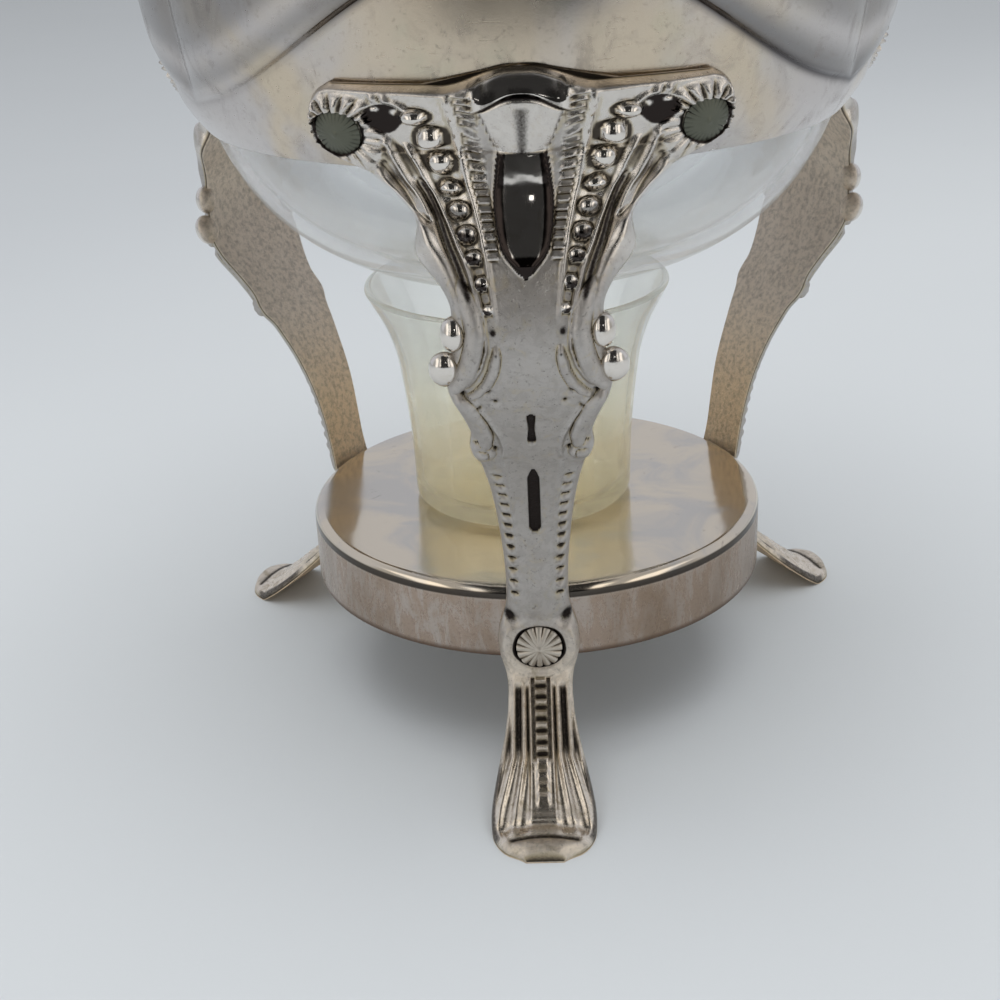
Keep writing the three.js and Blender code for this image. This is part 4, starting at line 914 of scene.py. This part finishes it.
def legGrid():
    # Rows across the leg along its centreline. Across, it is bent round the collar at the top and flat below,
    # and the top edge is waved, highest over the middle and over each ear.
    g = leg
    path = legCentreline()
    gone = travelled(path)
    starts = [0.0] + [end for end, _ in rowSpans]
    spans = [np.arange(start, end - apart / 2, apart) for start, (end, apart) in zip(starts, rowSpans)]
    s = np.concatenate(spans + [gone[-1:]])[:, None]

    def at(part, shift=0.0):
        # Reach or height of the centreline at each row, or a shift further down
        return np.interp(s + shift, gone, path[:, part])

    reach, height = at(0), np.maximum(at(1), 0)
    normal = unit(np.hstack([at(1, -0.5) - at(1, 0.5), at(0, 0.5) - at(0, -0.5)]))
    normal = unit(normal * np.hstack([np.clip(height / g["edgeDepth"], 0, 1), 0 * s + 1]))
    half = np.interp(s[:, 0], outline[:, 0], outline[:, 1])
    half = np.convolve(np.pad(half, 3, mode="edge"), np.ones(7) / 7, mode="valid")[:, None]
    front = half * (np.sin(np.linspace(-1, 1, g["frontColumns"]) * 0.95) / np.sin(0.95))
    down = np.broadcast_to(s, front.shape)
    depth, polish, black, calm = legDepth(down, front, half)
    back = half * np.linspace(1, -1, g["backColumns"])
    nothing = np.zeros(back.shape)
    out, deep = np.hstack([front, back]), np.hstack([depth, nothing])

    flat = lerp(plate["top"], collar["bottom"], g["flatShare"])
    bendRadius = reach / np.clip((height - flat) / (collar["bottom"] - flat), 0.02, 1)
    wave = g["topGap"] + g["waveDepth"] * ease(np.abs(out), g["waveStart"], g["waveEnd"])
    fade = np.clip((height - g["top"]) / g["waveReach"] + 1, 0, 1)
    level = height + deep * normal[:, 1:] - fade * wave
    skin = around(out / bendRadius, bendRadius + deep * normal[:, :1], level)
    skin[..., 1] += bendRadius - reach

    recess = np.clip((blurred(depth, 2, 3) - depth - 0.05) / 0.26, 0, 1) * calm
    faces = {"recess": recess, "polish": polish, "black": black, "inner": 0 * depth,
             "foot": ease(down, 118, 140)}
    marks = {name: [np.hstack([face, nothing + (name == "inner")]).ravel()] for name, face in faces.items()}

    # balls: a unit ball stretched along three directions read from the skin where it stands
    grids, middle = [skin], g["frontColumns"] // 2
    ball = revolved(arcPairs(0, 0, 1.0, -90, 90, 25), 36)
    behind = ease(-ball[..., 2], -0.1, 0.25).ravel()
    for place, across, halfLength, halfWidth, raised, shine in scrollBalls:
        row = int(np.argmin(np.abs(s - place)))
        along = unit(skin[row + 4, middle] - skin[row - 4, middle])
        outward = np.cross((1, 0, 0), along)
        outward *= -np.sign(outward[1])
        stretch = np.array([along * halfLength, (halfWidth, 0, 0), outward * g["ballDepth"]])
        bend, inward = bendRadius[row, 0], np.array([0, bendRadius[row, 0] - reach[row, 0], 0])
        for sign in (-1, 1):
            centre = around(sign * across / bend, bend, height[row, 0]) + inward
            grids.append(ball @ stretch + centre + outward * raised)
            for name, mark in marks.items():
                mark.append({"polish": shine * (1 - behind), "inner": behind}.get(name, 0 * behind))
    return grids, {name: np.concatenate(mark) for name, mark in marks.items()}


legGrids, legMarks = legGrid()
for name, angle in legTurns.items():
    turned = [turnedBy(grid, angle) for grid in legGrids]
    makePiece(f"leg_{name}", turned, "stand", "leg_casting", marks=legMarks, sharpAngle=75)
print("legs made,", legGrids[0].shape)


# Rosettes

rosette = dict(earRadius=4.35, plateRadius=4.75, seat=0.3, dome=1.7, brim=0.7, bevel=0.15, shank=1.5, tail=2.5,
               tailThickness=0.8, tailGap=0.9, button=0.28, edgeCut=0.09, earFace=2.0, plateFace=2.9,
               bossShare=0.727, steps=160)


def rosetteGrid(radius, face, wall, petals, petalDepth, petalPower):
    # Tail inside the sheet, shank through it, domed head whose face is cut into petals by radial grooves
    r = rosette
    seat, tailTop = face + r["seat"], -wall - r["tailGap"]
    stem = [[0, tailTop - r["tailThickness"]], [r["tail"], tailTop - r["tailThickness"]], [r["tail"], tailTop],
            [r["shank"], tailTop], [r["shank"], seat], [radius - r["bevel"], seat], [radius, seat + r["bevel"]]]
    share = np.sin(np.linspace(np.pi / 2, 0, 26))[:, None]
    dome = np.hstack([radius * share, seat + lerp(r["brim"], r["dome"], 1 - share**2)])
    grid = revolved(np.vstack([stem, dome]), r["steps"])
    head = grid[len(stem):]
    groove = 1 - np.abs(np.cos(petals * circle(r["steps"]) / 2)) ** petalPower
    weight = (0.12 + 0.88 * ease(share, 0.35, 0.9)) * ease(share, 0.14, 0.3)
    head[..., 2] += r["button"] * hump(share, 0.13) - petalDepth * groove * weight
    head[..., :2] *= (1 - ease(share, 0.8, 1.0) * groove**2 * r["edgeCut"])[..., None]
    recess = np.ones(grid.shape[:2])
    recess[len(stem):] = groove * weight
    return grid, {"recess": recess}


def earAxis(side):
    # Where a rosette stands on the collar, and the way it points, square to the collar
    height = leg["earHeight"]
    radius = collarRadius(height) + leg["seatGap"]
    slope = (collarRadius(height + 3) - collarRadius(height - 3)) / 6
    a = side * leg["earSpan"] / radius
    return around(a, radius, height), around(a, 1, -slope)


earPoints, earMarks = rosetteGrid(rosette["earRadius"], rosette["earFace"], collar["wall"], 26, 0.14, 0.35)
bossPoints, bossMarks = rosetteGrid(rosette["plateRadius"], rosette["plateFace"], plate["wall"], 16, 0.5, 0.45)
bossPlace = (0, -plate["radius"] - leg["seatGap"], plate["top"] - plate["skirt"] * rosette["bossShare"])
for name, angle in legTurns.items():
    for side, word in ((-1, "left"), (1, "right")):
        points = turnedBy(placedAlong(earPoints, *earAxis(side)), angle)
        makePiece(f"ear_rosette_{name}_{word}", points, "stand", "ear_rosette", marks=earMarks, sharpAngle=70)
    points = turnedBy(placedAlong(bossPoints, bossPlace, (0, -1, 0)), angle)
    makePiece(f"plate_rosette_{name}", points, "stand", "plate_rosette", marks=bossMarks, sharpAngle=70)
print("rosettes made")


# Candle cup

cup = dict(foot=25.1, rim=34.2, wall=1.7, floor=3.0, height=50.8, middle=(-2.8, 0.7), stand=0.3,
           heel=2.2, well=3.2)


def cupProfile():
    # Straight foot with a rounded heel, a flare to a rounded rim, and the same inside a wall further in
    c = cup
    low = plate["top"] + c["stand"]
    floor = low + c["floor"]
    shares = [[0, 0.06], [0.03, 0.25], [0.1, 0.42], [0.19, 0.56], [0.3, 0.69], [0.55, 0.83], [0.86, 0.94],
              [0.985, 0.985]]
    outer = sharesPath(shares, c["foot"], c["rim"], low, c["height"], 10)
    heel = arcPairs(c["foot"] - c["heel"], low + c["heel"], c["heel"], -90, 0, 9)[:-1]
    inner = outer[outer[:, 1] > floor + 3.5] - [c["wall"], 0]
    rim = arcPairs(outer[-1, 0] - c["wall"] / 2, outer[-1, 1], c["wall"] / 2, 0, 180, 9)[1:-1]
    bowl = arcPairs(inner[0, 0] - c["well"], floor + c["well"], c["well"], 0, -90, 9)
    foot = [[0, low + 0.7], [c["foot"] - 6, low + 0.5], [c["foot"] - 4.2, low]]
    return np.vstack([foot, heel, outer, rim, inner[::-1], bowl, [[0, floor]]])


cupPoints = revolved(cupProfile(), 160, cup["middle"])
makePiece("votive_cup", cupPoints, "votive_cup", "cup_glass", sharpAngle=80, name="CandleCup")
print("candle cup made")


# Glass carafe

globe = dict(radius=68.6, drop=60.2, rise=70.0, middle=157.4055, wall=2.2, floor=3.4, low=2.5, high=2.1,
             neck=31.0, neckBase=225.873, lip=239.873, shoulderEnd=35.4)


def quarter(radius, depth, power, angles):
    # Superellipse: cosine and sine of the angle, each to the power of two over the squareness
    c, s = np.clip(np.cos(angles), 0, 1), np.clip(np.sin(angles), 0, 1)
    return np.stack([radius * c ** (2 / power), globe["middle"] + depth * s ** (2 / power)], -1)


def globeWall(wall, floor, steps):
    # From the bottom's middle up to the end of the shoulder, drawn in by a wall and a floor
    g = globe
    radius = g["radius"] - wall
    bend = np.linspace(0, 1, steps)
    low = quarter(radius, floor - g["drop"], g["low"], np.pi / 2 * (1 - bend))
    end = np.arccos(((g["shoulderEnd"] - wall) / radius) ** (g["high"] / 2))
    return np.vstack([low, quarter(radius, g["rise"] - wall, g["high"], end * bend)[1:]])


def globeProfile():
    # The outer wall, bent out into the neck, a rounded rim, and the inner wall down again
    g = globe
    neck, base, lip = g["neck"], g["neckBase"], g["wall"] / 2
    bore = neck - g["wall"]
    outer, inner = globeWall(0, 0, 60), globeWall(g["wall"], g["floor"], 60)[::-1]
    bendOut = smoothPath([outer[-2], outer[-1], [neck, base], [neck, base + 3]], 6)[7:13]
    bendIn = smoothPath([[bore, base + 3], [bore, base], inner[0], inner[1]], 6)[6:13]
    rim = np.vstack([[[neck, g["lip"] - 3 * lip]], arcPairs(neck, g["lip"] - lip, lip, -60, 90, 9)])
    return np.vstack([outer, bendOut, rim, [[bore, g["lip"]]], bendIn, inner[1:]])


makePiece("carafe_glass", revolved(globeProfile(), 200), "carafe", "carafe_glass", sharpAngle=80)
print("carafe made")


# Neck mount

mount = dict(bore=32.8, wall=1.0, skirtLow=194.073, shoulderTop=218.473, sleeveLow=226.873, sleeveTop=238.873,
             rim=245.873, gap=0.3, flare=4.6, spoutReach=13.0, spoutRise=3.0, spoutAngle=17.0, spoutCurve=1.7)


def offShoulder(height, distance):
    # Places standing off the glass shoulder, square to it
    g = globe
    share = (height - g["middle"]) / g["rise"]
    rest = 1 - share ** g["high"]
    radius = g["radius"] * rest ** (1 / g["high"])
    slope = radius * share ** (g["high"] - 1) / rest / g["rise"]
    size = np.hypot(1, slope)
    return np.stack([radius + distance / size, height + distance * slope / size], -1)


def mountFace(layer):
    # One face of the mount: over the shoulder, up the sleeve and out along the flare
    m = mount
    b, share = m["bore"] + layer, np.linspace(0, 1, 30)
    skirt = offShoulder(lerp(m["skirtLow"], m["shoulderTop"], share), m["gap"] * (1 + share) + layer)
    flare = [[b, m["sleeveTop"] - 4], [b, m["sleeveTop"]],
             [b + 0.4 * m["flare"], lerp(m["sleeveTop"], m["rim"], 0.6)], [b + m["flare"], m["rim"]]]
    bend = smoothPath([skirt[-2], skirt[-1], [b, m["sleeveLow"]], [b, m["sleeveLow"] + 4]], 6)[7:13]
    return np.vstack([skirt, bend, smoothPath(flare, 9)])


def mountGrid():
    # Both faces round the neck, with the rim drawn out and up to the pouring lip at the front
    m = mount
    loop = np.vstack([mountFace(m["wall"]), mountFace(0.0)[::-1]])
    a = circle(288)[None, :]
    up = np.clip((loop[:, 1:] - m["sleeveLow"]) / (m["rim"] - m["sleeveLow"]), 0, 1)
    drawn = hump(np.degrees(np.arctan2(np.sin(a), np.cos(a))), m["spoutAngle"]) * up ** m["spoutCurve"]
    return around(a, loop[:, :1] + m["spoutReach"] * drawn, loop[:, 1:] + m["spoutRise"] * drawn)


makePiece("neck_mount", mountGrid(), "carafe", "plated_sheet", wrapRows=True, sharpAngle=50)
print("neck mount made")


# Lid and finial

lid = dict(radius=38.0, base=246.173, flange=1.2, wall=1.2, rise=13.5, skirt=32.3, skirtDepth=4.0)
finial = dict(radius=6.2, height=19.5, shank=1.6, shankLength=5.2, gap=0.3)


def lidProfile():
    # Flange with a rounded edge, a low dome to the finial's hole, and a skirt that stands inside the rim
    d = lid
    top, low = d["base"] + d["flange"], d["base"] - d["skirtDepth"]
    inside, roll = d["skirt"] - d["wall"], d["flange"] / 2
    shares = [[0.985, 0.02], [0.97, 0.09], [0.9, 0.3], [0.76, 0.52], [0.58, 0.72], [0.36, 0.88], [0.18, 0.97],
              [0.05, 1.0]]
    outer = sharesPath(shares, 0, d["radius"], top, d["rise"], 9)
    inner = outer - np.stack([d["wall"] * outer[:, 0] / d["radius"], np.full(len(outer), d["wall"])], -1)
    inner = inner[inner[:, 1] > top + 0.6]
    skirt = [[inside, top], [inside, low], [d["skirt"], low], [d["skirt"], d["base"]]]
    edge = arcPairs(d["radius"] - roll, d["base"] + roll, roll, -90, 90, 9)
    return np.vstack([skirt, edge, outer, inner[::-1]])


def finialProfile():
    # A shank through the lid, then a turned bud with a waist and a rounded point
    n = finial
    seat = lid["base"] + lid["flange"] + lid["rise"] + n["gap"]
    low = seat - n["shankLength"]
    shares = [[0.72, 0.0], [0.72, 0.06], [0.4, 0.16], [0.34, 0.3], [0.78, 0.42], [1, 0.56], [0.92, 0.7],
              [0.55, 0.87], [0.2, 0.96], [0, 1.0]]
    bud = sharesPath(shares, 0, n["radius"], seat, n["height"], 8)
    return np.vstack([[[0, low], [n["shank"], low], [n["shank"], seat]], np.maximum(bud, 0)])


def castMarks(grid, polish):
    # The same marks all over, for a cast piece without ornament
    values = {"recess": 0, "polish": polish, "black": 0, "inner": 0, "foot": 0.2}
    return {name: np.full(grid.shape[:2], value, float) for name, value in values.items()}


makePiece("lid", revolved(lidProfile(), 200), "lid", "plated_sheet", wrapRows=True, sharpAngle=50)
bud = revolved(finialProfile(), 96)
makePiece("finial", bud, "lid", "leg_casting", marks=castMarks(bud, 0.8))
print("lid and finial made")


# Handle with its sockets and washers

handle = dict(overhang=47.4, halfWidth=6.0, halfThickness=4.2, tenon=2.4, tenonLength=6.0, socket=5.6,
              socketLength=6.5, washer=5.8, washerThickness=2.4, gap=0.3, swellShare=0.45, endShare=0.004,
              ridge=0.05, socketEdge=0.8, washerEdge=0.4, upper=(3.2, 15.0), lower=(10.8, -4.0))


def socketAxis(height, tilt):
    # Where a socket stands on the outer face of the mount at the back, and the way it points
    face, a = mountFace(mount["wall"]), np.radians(tilt)
    radius = np.interp(height, face[:, 1], face[:, 0])
    return np.array([0.0, radius, height]), np.array([0.0, np.cos(a), np.sin(a)])


upper = socketAxis(mount["sleeveLow"] + handle["upper"][0], handle["upper"][1])
lower = socketAxis(mount["skirtLow"] + handle["lower"][0], handle["lower"][1])


def handleGrid():
    # An oval grip swept along a smooth curve from the upper socket, out and down, and back to the lower one
    h = handle
    begin = h["socketLength"] + h["gap"] + h["washerThickness"] + h["gap"]
    start, end = upper[0] + upper[1] * begin, lower[0] + lower[1] * begin
    reach = globe["radius"] + h["overhang"] - h["halfThickness"]
    span = start[2] - end[2]
    shares = [(0.24, 0.28), (0.56, 0.41), (0.86, 0.16), (1, -0.43), (0.975, -1), (0.84, -1.38), (0.65, -1.42),
              (0.47, -1.2)]
    middle = [(0, lerp(start[1], reach, out), start[2] + span * up) for out, up in shares]
    lead, tail = start + upper[1] * h["halfThickness"], end + lower[1] * h["halfThickness"]
    path = smoothPath([start, lead, *middle, tail, end], 24)
    gone, share = travelled(path), np.linspace(0, 1, 220)
    place = np.stack([np.interp(share * gone[-1], gone, path[:, k]) for k in range(3)], -1)
    along = unit(np.gradient(place, axis=0))
    out = np.stack([0 * share, -along[:, 2], along[:, 1]], -1)
    swell = lerp(1 - h["swellShare"] / 2, 1, np.sin(share * np.pi))
    swell = (swell * arc(np.maximum(np.minimum(share, 1 - share) / h["endShare"], 0.5)))[:, None, None]
    a = circle(48)[None, :, None]
    oval = swell * (1 + h["ridge"] * np.cos(2 * a))
    wide, thick = h["halfWidth"] * np.cos(a) * oval, h["halfThickness"] * np.sin(a) * oval
    return place[:, None] + wide * np.array([1.0, 0, 0]) + thick * out[:, None]


def socketProfile():
    # A short cup with a rounded mouth, soldered on the mount, bored for the handle's tenon
    h = handle
    bore, wide, edge, top = h["tenon"] + h["gap"], h["socket"], h["socketEdge"], h["socketLength"]
    deep = top - (h["tenonLength"] - h["washerThickness"] - h["gap"])
    side = [[0, 0.6], [wide - 0.2, 0.6], [wide - 0.2, 1.4], [wide - 0.6, 1.9]]
    mouth = arcPairs(wide - edge, top - edge, edge, 0, 90, 7)
    return np.vstack([side, mouth, [[bore, top], [bore, deep], [0, deep]]])


def washerProfile():
    # A ring round the tenon with a rounded outer edge
    h = handle
    start, bore, edge = h["socketLength"] + h["gap"], h["tenon"] + h["gap"], h["washerEdge"]
    end, out = start + h["washerThickness"], h["washer"] - edge
    return np.vstack([[[bore, start]], arcPairs(out, start + edge, edge, -90, 0, 5),
                      arcPairs(out, end - edge, edge, 0, 90, 5), [[bore, end]]])


grip = handleGrid()
makePiece("handle", grip, "carafe", "leg_casting", marks=castMarks(grip, 0.85))
for word, axis in (("upper", upper), ("lower", lower)):
    socket = placedAlong(revolved(socketProfile(), 64), *axis)
    washer = placedAlong(revolved(washerProfile(), 64), *axis)
    makePiece(f"handle_socket_{word}", socket, "carafe", "plated_sheet")
    makePiece(f"insulator_{word}", washer, "carafe", "insulator", wrapRows=True)
for node in ("hinge_bracket", "hinge_pin", "finial_nut"):
    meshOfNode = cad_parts[node].data
    meshOfNode.materials.clear()
    meshOfNode.materials.append(finishes["plated_sheet"])
print("handle made")


# Floor, light and camera

studio = dict(floor=(0.585, 0.615, 0.64), floorFarShade=(0.36, 0.385, 0.42), background=(0.585, 0.605, 0.655),
              light=0.62, nearEdge=-0.52, room=0.03, window=(1.35, 1.35 * 0.96, 1.35 * 0.9), side=0.42,
              above=0.45, lampSeen=3.0, lampPlace=(0, -0.2, 1.3), lampAim=(0, 0, 0.1), lampSize=1.3,
              lampPower=12.2)


def link(item):
    # Puts an object into the scene
    bpy.context.scene.collection.objects.link(item)
    return item


def floorFinish():
    # Matt pale paper with a barely seen tooth, with painted shade making it greyer far behind and towards the
    # left
    f = newFinish("Pale floor")
    tone = f.mix(f.noise(160.0, 2.0, 0.5), studio["floor"], tuple(k * 1.04 for k in studio["floor"]))
    farShade = f.ramp(f.place(1) - f.place(0) * 0.9, 0.12, 0.75)
    return f.painted(f.mix(farShade * 0.3, tone, studio["floorFarShade"]), 0.9, f.noise(0.6, 2.0), 0.02)


floorMesh = bpy.data.meshes.new("Floor")
corners = [(-6, studio["nearEdge"], 0), (6, studio["nearEdge"], 0), (6, 8, 0), (-6, 8, 0)]
floorMesh.from_pydata(corners, [], [(0, 1, 2, 3)])
floorMesh.materials.append(floorFinish())
floor = link(bpy.data.objects.new("Floor", floorMesh))


def softWorld():
    # Even pale light. What polished metal shows of it is pale behind, a dark room on the near side with a tall
    # bright window on each side of it, and a dim ceiling.
    world = bpy.data.worlds.new("Soft studio")
    bpy.context.scene.world = world
    f = Finish(world)
    x, y, z = (f.place(k, "Generated") for k in range(3))
    aside = f.add("ShaderNodeMath", {"operation": "ABSOLUTE"}, {0: x})
    near = f.ramp(0.0 - y, -0.05, 0.15)
    pane = f.band(aside, 0.64, 0.68, 0.84, 0.9) * f.ramp(z, -0.25, -0.1)
    slit = f.band(aside, 0.4, 0.43, 0.5, 0.53) * f.ramp(z, -0.12, -0.04)
    figure = 1.0 - f.ramp(aside, 0.38, 0.42)
    lamp = f.band(x, 0.1, 0.12, 0.17, 0.19) * f.band(z, 0.26, 0.28, 0.35, 0.37)
    front = f.coats(grey(studio["side"]), ((pane + slit) * (1.0 - f.ramp(z, 0.66, 0.74)), studio["window"]),
                    (figure, grey(studio["room"])), (lamp, grey(studio["lampSeen"])))
    overhead = f.ramp(z, 0.6, 0.75) * (1.0 - f.ramp(y, -0.1, 0.5)) * (1.0 - figure * near)
    mirrored = f.coats(studio["background"], (near, front), (overhead, grey(studio["above"])))
    glossy, cameraRay, clearRay = (f.add("ShaderNodeLightPath", output=kind) for kind in (
        "Is Glossy Ray", "Is Camera Ray", "Transmission Depth"))
    straight = f.add("ShaderNodeMath", {"operation": "MAXIMUM", "use_clamp": True}, {0: cameraRay, 1: clearRay})
    seen = f.coats(grey(studio["light"]), (glossy, mirrored), (straight, studio["background"]))
    back = f.add("ShaderNodeBackground", {}, {"Color": seen, "Strength": 1.0})
    f.add("ShaderNodeOutputWorld", {}, {"Surface": back})


def softLamp():
    # A large square lamp that lights the matt surfaces and isn't itself seen, nor mirrored in the metal
    data = bpy.data.lights.new("Overhead", "AREA")
    data.shape, data.size, data.energy = "SQUARE", studio["lampSize"], studio["lampPower"]
    lamp = link(bpy.data.objects.new("Overhead", data))
    lamp.location = studio["lampPlace"]
    lamp.rotation_euler = (Vector(studio["lampAim"]) - lamp.location).to_track_quat("-Z", "Y").to_euler()
    lamp.visible_camera = lamp.visible_glossy = False


softWorld()
softLamp()

shot = dict(place=(1.95, -346.8, 193.9), azimuth=-1.73, down=23.85, roll=-2.44, lens=57.6, sensor=36.0)


def photoCamera():
    # Standing at a measured place, turned by azimuth, pitched down and rolled, as the photograph was taken
    a, e, r = (np.radians(shot[k]) for k in ("azimuth", "down", "roll"))
    forward = Vector((np.sin(a) * np.cos(e), np.cos(a) * np.cos(e), -np.sin(e)))
    level = Vector((np.cos(a), -np.sin(a), 0))
    upright = level.cross(forward)
    right = level * np.cos(r) + upright * np.sin(r)
    top = upright * np.cos(r) - level * np.sin(r)
    data = bpy.data.cameras.new("PhotoCamera")
    data.lens, data.sensor_width, data.sensor_fit = shot["lens"], shot["sensor"], "HORIZONTAL"
    data.clip_start, data.clip_end = 0.01, 50
    place = Matrix((right, top, -forward)).transposed().to_4x4()
    place.translation = Vector(np.array(shot["place"]) * 0.001 + axisPlace)
    camera = link(bpy.data.objects.new("PhotoCamera", data))
    camera.matrix_world = place
    bpy.context.scene.camera = camera


photoCamera()
bpy.context.scene.view_settings.view_transform = "Standard"
print("floor, light and camera made")
